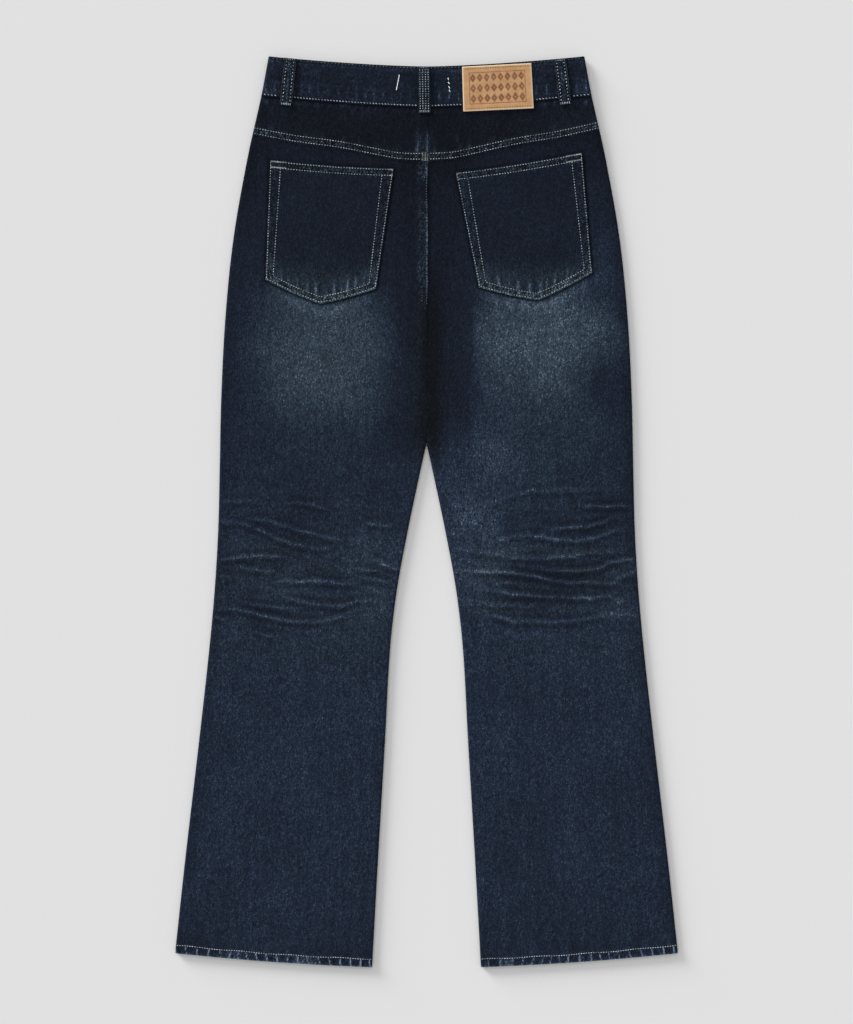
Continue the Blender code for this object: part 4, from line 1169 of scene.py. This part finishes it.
# ---- Belt loops ----
# Strips of denim folded in three and coverstitched, so that they have a rubbed ridge down the
# middle. Each is tacked at its top and at its foot, and the back ones arch over the waistband.
Loop = namedtuple("Loop", "name face top_x top_y foot_x foot_y row_ways ridge")
LOOPS = (
    Loop("loop_back_left", "back", -154.7, 516.4, -160.2, 462.6, (4.1, 6.2), 0.22),
    Loop("loop_back_centre", "back", -2.9, 507.0, -2.3, 454.0, (1.7, 4.7), 0.24),
    Loop("loop_back_right", "back", 151.9, 515.4, 158.1, 463.7, (4.1, 6.2), 0.20),
    Loop("loop_front_left", "front", -94.0, 499.0, -95.0, 448.0, (4.1, 6.2), 0.20),
    Loop("loop_front_right", "front", 94.0, 499.0, 95.0, 448.0, (4.1, 6.2), 0.20),
)
LOOP_WIDTH = 14.0
LOOP_WALL = 1.5
LOOP_ARCH = ((0.0, 0.0), (0.12, 0.2), (0.3, 1.1), (0.5, 1.5), (0.7, 1.0), (0.84, 0.0), (1.0, -0.35))
LOOP_COLUMNS = 28
LOOP_ROWS = 60
loop_denim = denim("belt_loop_denim", 0.8)


def loop_axis(loop):
    """Unit steps along a loop, towards its foot, and across it."""
    length = math.hypot(loop.foot_x - loop.top_x, loop.foot_y - loop.top_y)
    down = ((loop.foot_x - loop.top_x) / length, (loop.foot_y - loop.top_y) / length)
    return down, (-down[1], down[0]), length


for loop in LOOPS:
    down, over, length = loop_axis(loop)

    def lay_loop(column, row):
        along, across = row / LOOP_ROWS, (column / LOOP_COLUMNS - 0.5) * LOOP_WIDTH
        x = mix(loop.top_x, loop.foot_x, along) + over[0] * across
        y = mix(loop.top_y, loop.foot_y, along) + over[1] * across
        folds = (0.28 * bump(across, 0.0, 1.6) - 0.22 * bump(np.abs(across), 3.9, 0.8)
                 - 0.35 * ease(6.2, 7.0, np.abs(across))
                 + 0.10 * np.sin(math.tau * along * length / 2.6) * bump(np.abs(across), 3.9, 1.6))
        if loop.face == "front":
            return x, y, -np.minimum(folds, 0.0)
        return x, y, LIFT + BAND_HEIGHT + GAP + LOOP_WALL + on_curve(LOOP_ARCH, along) + folds

    piece, (x, y, _) = shell(loop.name + "_cloth", LOOP_COLUMNS, LOOP_ROWS, lay_loop, (loop_denim,),
                             1 if loop.face == "back" else -1, LOOP_WALL)
    across = (x - loop.top_x) * over[0] + (y - loop.top_y) * over[1]
    along = (x - loop.top_x) * down[0] + (y - loop.top_y) * down[1]
    fade = (0.20 + loop.ridge * bump(across, 0.0, 1.3) * (0.7 + 0.3 * waver(along, across, 2.5, 95))
            + 0.34 * bump(np.abs(across), 6.6, 0.7) * crests(waver(along, 0.0, 1.6, 94))
            + 0.12 * waver(along, across, 2.4, 96))
    fade -= 0.16 * bump(np.abs(across), loop.row_ways[0], 0.9)
    paint(piece, fade=fade, teal=0.5, rub=bump(across, 0.0, 6.0))
    lay_cloth(piece, loop.name, ["waistband_cloth"], flat=(LOOP_WIDTH * MM, length * MM))

# ---- Patch ----
# Vegetable-tanned leather, cut square, sewn along its top and its foot with dark brown thread.
# It is stamped with a plain lattice of lozenges in a ruled frame, in scorched brown.
PATCH_TOP = ((40.5, 506.8), (119.2, 511.0))
PATCH_FOOT = ((42.0, 455.9), (122.0, 459.6))
PATCH_WALL = 1.3
PATCH_COLUMNS = 150
PATCH_ROWS = 100
PATCH_WIDTH = 80.0
PATCH_HEIGHT = 53.0
STAMP_DEPTH = 0.12
FRAME_INSET = 8.0
FRAME_LINE = 0.9
LOZENGES = 8
LOZENGE_ROWS = 3
LOZENGE_SHARE = 0.90            # of a lozenge's cell that is stamped


def patch_place(right, down):
    """X and Y of a point of the patch, from shares of its width and height."""
    (left_top, right_top), (left_foot, right_foot) = PATCH_TOP, PATCH_FOOT
    return [mix(mix(left_top[i], right_top[i], right), mix(left_foot[i], right_foot[i], right), down)
            for i in (0, 1)]


def stamp(right, down):
    """1 where the leather is stamped, 0 where it is bare."""
    x, y = (right - 0.5) * PATCH_WIDTH, (down - 0.5) * PATCH_HEIGHT
    half_x, half_y = PATCH_WIDTH / 2 - FRAME_INSET, PATCH_HEIGHT / 2 - FRAME_INSET
    edge = np.maximum(np.abs(x) - half_x, np.abs(y) - half_y)
    line = 1 - ease(FRAME_LINE / 2 - 0.3, FRAME_LINE / 2 + 0.3, np.abs(edge))
    cell_x, cell_y = 2 * half_x / LOZENGES, 2 * half_y / LOZENGE_ROWS
    u = np.abs((x + half_x) / cell_x % 1.0 - 0.5)
    v = np.abs((y + half_y) / cell_y % 1.0 - 0.5)
    filled = 1 - ease(LOZENGE_SHARE / 2 - 0.04, LOZENGE_SHARE / 2 + 0.03, u + v)
    eye = ease(0.07, 0.12, u + v)
    return np.maximum(line, filled * eye * (edge < -1.0))


def from_patch_edge(right, down):
    return np.minimum(np.minimum(right, 1 - right) * PATCH_WIDTH,
                      np.minimum(down, 1 - down) * PATCH_HEIGHT)


def lay_patch(column, row):
    right, down = column / PATCH_COLUMNS, row / PATCH_ROWS
    x, y = patch_place(right, down)
    to_edge = from_patch_edge(right, down)
    z = (LIFT + BAND_HEIGHT + GAP + PATCH_WALL - STAMP_DEPTH * stamp(right, down)
         - 0.35 * bump(to_edge, 0.0, 0.5) + 0.10 * waver(x, y, 16.0, 97))
    return x, y, z


# Leather: a fine pebbled grain, a little gloss, paler where the edge is cut through
leather, tree, place = new_material("vegetable_tanned_leather", Roughness=0.62,
                                    Specular_IOR_Level=0.3)
stamped, rim = attributes(tree, ("stamp", "rim"))
cloud = add_node(tree, "TexNoise", {"Vector": place, "Scale": 160.0, "Detail": 5.0, "Roughness": 0.65})
hide = add_node(tree, "ValToRGB", {"Fac": cloud},
                stops=((0.3, "#B0865A"), (0.5, "#BC9064"), (0.7, "#C89E72")))
scorch = add_node(tree, "ValToRGB", {"Fac": cloud}, stops=((0.3, "#74492F"), (0.7, "#976547")))
printed = add_node(tree, "Mix", {"Factor": stamped, 6: hide, 7: scorch}, 2, data_type="RGBA")
edged = add_node(tree, "Mix", {"Factor": rim, 6: printed, 7: linear("#E6CDAE")}, 2, data_type="RGBA")
pores = add_node(tree, "TexVoronoi", {"Vector": place, "Scale": 1300.0})
surface(tree, pores, 0.35, 0.0002, edged)

piece, (x, y, _) = shell("waist_patch", PATCH_COLUMNS, PATCH_ROWS, lay_patch, (leather,),
                         wall=PATCH_WALL)
right = (x - mix(PATCH_TOP[0][0], PATCH_FOOT[0][0], 0.5)) / PATCH_WIDTH
down = (mix(PATCH_TOP[0][1], PATCH_TOP[1][1], right) - y) / (PATCH_TOP[0][1] - PATCH_FOOT[0][1])
right = (x - mix(PATCH_TOP[0][0], PATCH_FOOT[0][0], down)) / mix(
    PATCH_TOP[1][0] - PATCH_TOP[0][0], PATCH_FOOT[1][0] - PATCH_FOOT[0][0], down)
to_edge = from_patch_edge(right, down)
paint(piece, stamp=stamp(right, down), rim=np.clip(1.1 * bump(to_edge, 0.0, 1.1), 0, 1))
lay_cloth(piece, "patch", ["waistband_cloth"], "leather", flat=(PATCH_WIDTH * MM, PATCH_HEIGHT * MM))

# ---- Waist button ----
# A pressed brass cap on the front of the waistband, face down on the table. Its face is dished
# inside a rounded rim, with a plain ring and a centre boss.
BUTTON_RADIUS = 8.5
BUTTON_HEIGHT = 1.5
BUTTON_ROUND = 0.45
BUTTON_PLACE = (-6.0, 467.0)
BUTTON_RINGS = ((7.4, 0.0), (6.9, 0.45), (5.2, 0.45), (4.8, 0.25), (4.2, 0.25), (3.8, 0.45),
                (2.0, 0.4), (1.4, 0.1))

# Brass gone brown in the washes: a metal with a soft gloss, mottled by tarnish
aged_brass, tree, place = new_material("aged_brass", Roughness=0.42, Metallic=1.0)
tarnish = add_node(tree, "TexNoise", {"Vector": place, "Scale": 420.0, "Detail": 4.0})
surface(tree, tarnish, 0.3, 0.0001,
        add_node(tree, "ValToRGB", {"Fac": tarnish}, stops=((0.35, "#6A4E30"), (0.6, "#A98050"))))

bpy.ops.mesh.primitive_cylinder_add(vertices=48, radius=BUTTON_RADIUS * MM, depth=BUTTON_HEIGHT * MM,
                                    location=(BUTTON_PLACE[0] * MM, BUTTON_PLACE[1] * MM,
                                              BUTTON_HEIGHT / 2 * MM))
button = bpy.context.object
button.name = button.data.name = "waist_button"
bpy.ops.object.transform_apply(location=True, rotation=True, scale=True)
bpy.ops.object.mode_set(mode="EDIT")
bpy.ops.mesh.select_all(action="SELECT")
bpy.ops.mesh.bevel(offset=BUTTON_ROUND * MM, segments=3, affect="EDGES")
bpy.ops.mesh.select_all(action="DESELECT")
bpy.ops.object.mode_set(mode="OBJECT")
face_down = min(button.data.polygons, key=lambda face: (face.center.z, -face.area))
face_down.select = True
radius = BUTTON_RADIUS - BUTTON_ROUND
level = 0.0
for ring_radius, ring_level in BUTTON_RINGS:
    bpy.ops.object.mode_set(mode="EDIT")
    bpy.ops.mesh.inset(thickness=(radius - ring_radius) * MM, depth=0.0)
    bpy.ops.transform.translate(value=(0.0, 0.0, (ring_level - level) * MM))
    bpy.ops.object.mode_set(mode="OBJECT")
    radius, level = ring_radius, ring_level
bpy.ops.object.shade_smooth_by_angle(angle=math.radians(40))
button.data.materials.append(aged_brass)
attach(button, "root")
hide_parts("button")

# ---- Topstitching ----
# Core-spun thread, sewn at 3.1 mm a stitch in rows along the seams, folds and hems, and worn
# to a pale grey-beige. Each stitch is a short bead of thread pulled down into the cloth.
STITCH_PITCH = 3.1
STITCH_LENGTH = 2.1
THREAD_RADIUS = 0.5
THREAD_SINK = 0.15
SLANT = 0.45                    # how far the stitches of the waistband's rows lean


def thread(name, dark, pale):
    """Twisted sewing thread: matt, its tone wandering with wear along the row."""
    material, tree, place = new_material(name, Roughness=0.8, Specular_IOR_Level=0.2, Sheen_Weight=0.1)
    wear = add_node(tree, "TexNoise", {"Vector": place, "Scale": 110.0, "Detail": 3.0, "Roughness": 0.7})
    colour = add_node(tree, "ValToRGB", {"Fac": wear}, stops=((0.36, dark), (0.64, pale)))
    ply = add_node(tree, "TexNoise", {"Vector": place, "Scale": 3500.0})
    surface(tree, ply, 0.4, 0.0001, colour)
    return material


bpy.ops.mesh.primitive_uv_sphere_add(segments=6, ring_count=3, radius=1.0)
bead = bpy.context.object
bead_points = np.array([point.co[:] for point in bead.data.vertices])[:, (2, 1, 0)]
bead_faces = [tuple(reversed(face.vertices)) for face in bead.data.polygons]
bpy.data.objects.remove(bead)


def along_row(line, pitch):
    """Middles and directions of stitches laid at a pitch along a line of points."""
    x, y = (np.asarray(values, dtype=float) for values in line)
    run = np.concatenate(([0.0], np.cumsum(np.hypot(np.diff(x), np.diff(y)))))
    count = max(1, int(run[-1] / pitch))
    middle = (np.arange(count) + 0.5) * run[-1] / count
    ahead, behind = np.minimum(middle + 0.5, run[-1]), np.maximum(middle - 0.5, 0.0)
    run_x = np.interp(ahead, run, x) - np.interp(behind, run, x)
    run_y = np.interp(ahead, run, y) - np.interp(behind, run, y)
    return np.interp(middle, run, x), np.interp(middle, run, y), run_x, run_y


def bar_tack(start, end, width, pitch=0.95):
    """A bar tack: close stitches laid across the line from start to end."""
    x, y, run_x, run_y = along_row(list(zip(start, end)), pitch)
    return x, y, -run_y, run_x, width


def sew(name, nodes, rows, material, face="back", radius=THREAD_RADIUS):
    """Lays stitches on the cloth and joins them into one piece.

    Each row is (x, y, run_x, run_y, stitch length); it is dropped onto the nearest piece below.
    """
    sign = 1 if face == "back" else -1
    meshes = [cloth[node].data for node in nodes]
    trees = [BVHTree.FromPolygons([point.co for point in mesh.vertices],
                                  [face.vertices for face in mesh.polygons]) for mesh in meshes]
    points, faces = [], []
    for xs, ys, runs_x, runs_y, length in rows:
        for x, y, run_x, run_y in zip(xs, ys, runs_x, runs_y):
            hits = [tree.ray_cast(Vector((x * MM, y * MM, sign * 0.1)), Vector((0, 0, -sign)))
                    for tree in trees]
            hits = [hit for hit in hits if hit[0] is not None]
            if not hits:
                continue
            place, normal = max(hits, key=lambda hit: sign * hit[0].z)[:2]
            if normal.z * sign < 0:
                normal = -normal
            forward = Vector((run_x, run_y, 0.0))
            forward = (forward - normal * forward.dot(normal)).normalized()
            sideways = normal.cross(forward)
            turn = np.array((forward, sideways, normal))
            sizes = np.array((length / 2, radius, radius))
            middle = np.array(place) / MM - np.array(normal) * THREAD_SINK
            first = len(points) * len(bead_points)
            points.append(((bead_points * sizes) @ turn + middle) * MM)
            faces.extend(tuple(first + corner for corner in corners) for corners in bead_faces)
    mesh = bpy.data.meshes.new(name)
    mesh.from_pydata(np.concatenate(points).tolist(), [], faces)
    mesh.shade_smooth()
    mesh.materials.append(material)
    stitches = bpy.data.objects.new(name, mesh)
    bpy.context.scene.collection.objects.link(stitches)
    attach(stitches, "root")


def seam_row(line, pitch=STITCH_PITCH, length=STITCH_LENGTH, slant=0.0):
    x, y, run_x, run_y = along_row(line, pitch)
    return x, y, run_x + slant * run_y, run_y - slant * run_x, length


seam_thread = thread("worn_grey_thread", "#566167", "#CAD5D9")
dim_thread = thread("dark_grey_thread", "#343C43", "#6E797E")
hem_thread = thread("pale_grey_thread", "#727A7E", "#D6DDE2")
loop_thread = thread("pale_blue_thread", "#606B74", "#C4CFD6")
tack_thread = thread("dull_grey_thread", "#3A4145", "#B4BBB8")
patch_thread = thread("dark_brown_thread", "#2E1D12", "#4A3220")

# The yokes: two rows in each fold. The centre seam: one row all along, and the foot of a second
YOKE_STITCH_WAYS = (2.5, 8.9)
FellRow = namedtuple("FellRow", "x foot top points")
FELL_STITCHES = (FellRow(-0.1, 236.0, 392.0, 60), FellRow(-5.0, 236.0, 258.0, 20))
yoke_rows = []
for start, end in ((-200.0, -3.5), (3.5, 200.0)):
    x = np.linspace(start, end, 120)
    yoke_rows += [seam_row((x, yoke_seam(x) + way)) for way in YOKE_STITCH_WAYS]
fell_rows = [seam_row((np.full(row.points, row.x), np.linspace(row.foot, row.top, row.points)))
             for row in FELL_STITCHES]
sew("stitches_yokes", ["yoke_left", "yoke_right"], yoke_rows, seam_thread)
sew("stitches_centre_back", ["back_left", "yoke_left"], fell_rows, dim_thread, radius=0.4)


def inside_corner(corner, before, after, way_before, way_after):
    """The point at given ways inside the two edges that meet at a corner."""
    corner, before, after = (Vector(point) for point in (corner, before, after))
    first, second = (before - corner).normalized(), (after - corner).normalized()
    spread = abs(first.cross(second))
    return corner + first * (way_after / spread) + second * (way_before / spread)


PocketRow = namedtuple("PocketRow", "mouth side_top side_low foot")     # ways in from the edges
POCKET_STITCHES = (PocketRow(1.3, 1.2, 1.2, 1.6), PocketRow(8.0, 12.4, 8.6, 7.4))
OUTER_TACK = 18.0               # length of the tacks at the two ends of a pocket's mouth
INNER_TACK = 4.5
TACKS_DOWN = (1.5, 8.0)
TACK_START = 0.8


def pocket_rows(shape):
    """The rows of stitches of a pocket, and the bar tacks at its mouth."""
    outer_top, inner_top, inner_bottom, tip, outer_bottom = (Vector(point) for point in shape[1:])
    rows = []
    for row in POCKET_STITCHES:
        low_outer = inside_corner(outer_bottom, outer_top, tip, row.side_low, row.foot)
        low_inner = inside_corner(inner_bottom, tip, inner_top, row.foot, row.side_low)
        point = inside_corner(tip, outer_bottom, inner_bottom, row.foot, row.foot)
        high_outer = inside_corner(outer_top, inner_top, outer_bottom, row.mouth, row.side_top)
        high_inner = inside_corner(inner_top, inner_bottom, outer_top, row.side_top, row.mouth)
        mouth_outer = inside_corner(outer_top, inner_top, outer_bottom, row.mouth, 1.2)
        mouth_inner = inside_corner(inner_top, inner_bottom, outer_top, 1.2, row.mouth)
        for first, second, depth in ((high_outer, low_outer, 0.0), (low_outer, point, FOOT_SAG),
                                     (point, low_inner, FOOT_SAG), (low_inner, high_inner, 0.0),
                                     (mouth_outer, mouth_inner, MOUTH_SAG)):
            share = np.linspace(0.0, 1.0, 30)
            rows.append(seam_row((mix(first.x, second.x, share),
                                  mix(first.y, second.y, share) - sag(share, depth))))
    over = (inner_top - outer_top).normalized()
    under = (outer_bottom - outer_top).normalized()
    tacks = []
    for start, reach, step in ((outer_top, OUTER_TACK, over), (inner_top, INNER_TACK, -over)):
        for down in TACKS_DOWN:
            first = start + under * down + step * TACK_START
            tacks.append(bar_tack(tuple(first), tuple(first + step * reach), 2.3))
    return rows, tacks


for shape in POCKETS:
    rows, tacks = pocket_rows(shape)
    sew("stitches_pocket_" + shape.side, ["pocket_" + shape.side], rows, seam_thread)
    sew("tacks_pocket_" + shape.side, ["pocket_" + shape.side], tacks, tack_thread, radius=0.4)

# The waistband: a row above its seam, broken by the loops and the patch, and one under its fold
BAND_RUNS = ((-186.0, -170.0), (-151.5, -10.5), (5.0, 40.5), (124.0, 149.5), (166.0, 186.0))
BAND_STITCH_WAY = 2.1
BAND_EDGE_STITCH_WAY = 1.7
band_rows = []
for start, end in BAND_RUNS:
    x = np.linspace(start, end, 60)
    band_rows.append(seam_row((x, back_seam(x) + BAND_STITCH_WAY), 3.4, 2.6, SLANT))
sew("stitches_waistband", ["waistband"], band_rows, loop_thread, radius=0.6)
x = np.linspace(-176.0, 176.0, 200)
edge_row = seam_row((x, back_top(x) - BAND_EDGE_STITCH_WAY), EDGE_WAVE_PITCH, 2.4, -SLANT)
sew("stitches_band_top", ["waistband"], [edge_row], dim_thread)

# Belt loops: rows beside each edge, the outer ones worn to flecks, and a bar tack at each end
FLECK_WAY = 6.2
FLECK = (2.4, 1.1)              # pitch and length, then the slant of its stitches if it has one
SIDE_STITCH = (3.7, 2.1, 0.4)
CENTRE_STITCH = (2.6, 1.7)
ROW_START = 2.5
ROW_END = 4.0
TACK_REACH = 5.8
TOP_TACK = (2.2, 1.4)           # pitch of its stitches, then their length
FOOT_TACK = (1.7, 3.0)


def loop_point(loop, along, across):
    """A point of a loop at ways along it and across it from the middle of its top."""
    down, over, _ = loop_axis(loop)
    return (loop.top_x + down[0] * along + over[0] * across,
            loop.top_y + down[1] * along + over[1] * across)


for loop in LOOPS:
    length = loop_axis(loop)[2]
    rows = []
    flecks = []
    for across in loop.row_ways + tuple(-way for way in loop.row_ways):
        line = list(zip(loop_point(loop, ROW_START, across), loop_point(loop, length - ROW_END, across)))
        if abs(across) == FLECK_WAY:
            flecks.append(seam_row(line, *FLECK))
        else:
            rows.append(seam_row(line, *(SIDE_STITCH if FLECK_WAY in loop.row_ways else CENTRE_STITCH)))
    tacks = [bar_tack(loop_point(loop, along, -TACK_REACH), loop_point(loop, along, TACK_REACH),
                      width, pitch)
             for along, (pitch, width) in ((1.3, TOP_TACK), (length - 1.9, FOOT_TACK))]
    sew("stitches_" + loop.name, [loop.name], rows, loop_thread, loop.face, 0.66 if flecks else 0.58)
    if flecks:
        sew("flecks_" + loop.name, [loop.name], flecks, dim_thread, loop.face, 0.4)
    sew("tacks_" + loop.name, [loop.name], tacks, loop_thread, loop.face, 0.50)

# The centre tack where the yoke seam meets the fell: three columns of stitches
CentreTack = namedtuple("CentreTack", "x foot top width pitch")
CENTRE_TACKS = (CentreTack(-4.2, 399.5, 410.5, 2.6, 1.2), CentreTack(-1.2, 399.9, 410.5, 2.6, 1.1),
                CentreTack(1.2, 399.5, 408.5, 2.0, 1.3))
sew("tack_centre_back", ["yoke_left", "back_left", "yoke_right"],
    [bar_tack((tack.x, tack.foot), (tack.x, tack.top), tack.width, tack.pitch)
     for tack in CENTRE_TACKS], tack_thread)

# Patch: one row along its top and one along its foot
PATCH_STITCH_DOWN = (0.055, 0.945)          # shares of the patch's height
patch_rows = [seam_row(patch_place(np.array((0.03, 0.97)), down), 2.8, 2.6)
              for down in PATCH_STITCH_DOWN]
sew("stitches_patch", ["patch"], patch_rows, patch_thread, radius=0.42)

# Hems: one row round each leg, back and front, a little unsteady
HEM_STITCH_HEIGHT = 9.2
HEM_STITCH_SWAY = 0.4
for face in ("back", "front"):
    for side_name, side in SIDES:
        across = np.linspace(0.004, 0.996, 60)
        y = hem_edge(across) + HEM_STITCH_HEIGHT
        x = side * mix(side_edge(y), on_curve(INSEAM, y), across)
        y = y + HEM_STITCH_SWAY * np.sin(x / 9.0)
        sew(f"stitches_hem_{face}_{side_name}", [f"{face}_{side_name}"], [seam_row((x, y), 2.8)],
            hem_thread, face, 0.52)

# The front's own rows: round each scoop, the fly's J and the waistband
SCOOP_STITCH_WAYS = (2.0, 8.0)
FLY_STITCH_WAYS = (3.0, 9.0)
WAIST_STITCH_WAY = 2.6
front_rows = [seam_row(scoop_line(side, way)) for side in (-1, 1) for way in SCOOP_STITCH_WAYS]
y = np.linspace(front_seam(0.0) - FLY_LENGTH + 5.0, front_seam(0.0) - 3.0, 80)
front_rows += [seam_row((centre_line("front", y) - fly_way(y, -way), y)) for way in FLY_STITCH_WAYS]
x = np.linspace(-180.0, 180.0, 120)
front_rows.append(seam_row((x, front_seam(x) + WAIST_STITCH_WAY)))
sew("stitches_front", ("front_left", "front_right", "fly", "waistband"),
    front_rows, seam_thread, "front")

# ---- White tacks ----
# Two loose lines of bright white thread that hold something inside the waistband, one straight
# and one in a zigzag.
TACKS = (((-31.0, -32.6, -34.3), (497.6, 489.0, 480.5)), ((24.4, 25.2), (495.2, 491.0)),
         ((23.9, 27.0), (490.2, 486.7)), ((25.0, 27.0), (485.2, 481.8)), ((26.0, 26.8), (480.6, 478.6)))
white_thread = thread("white_thread", "#EEF2F8", "#FFFFFF")
sew("white_tacks", ["waistband"], [seam_row(line, 2.4, 3.8) for line in TACKS], white_thread,
    radius=0.62)
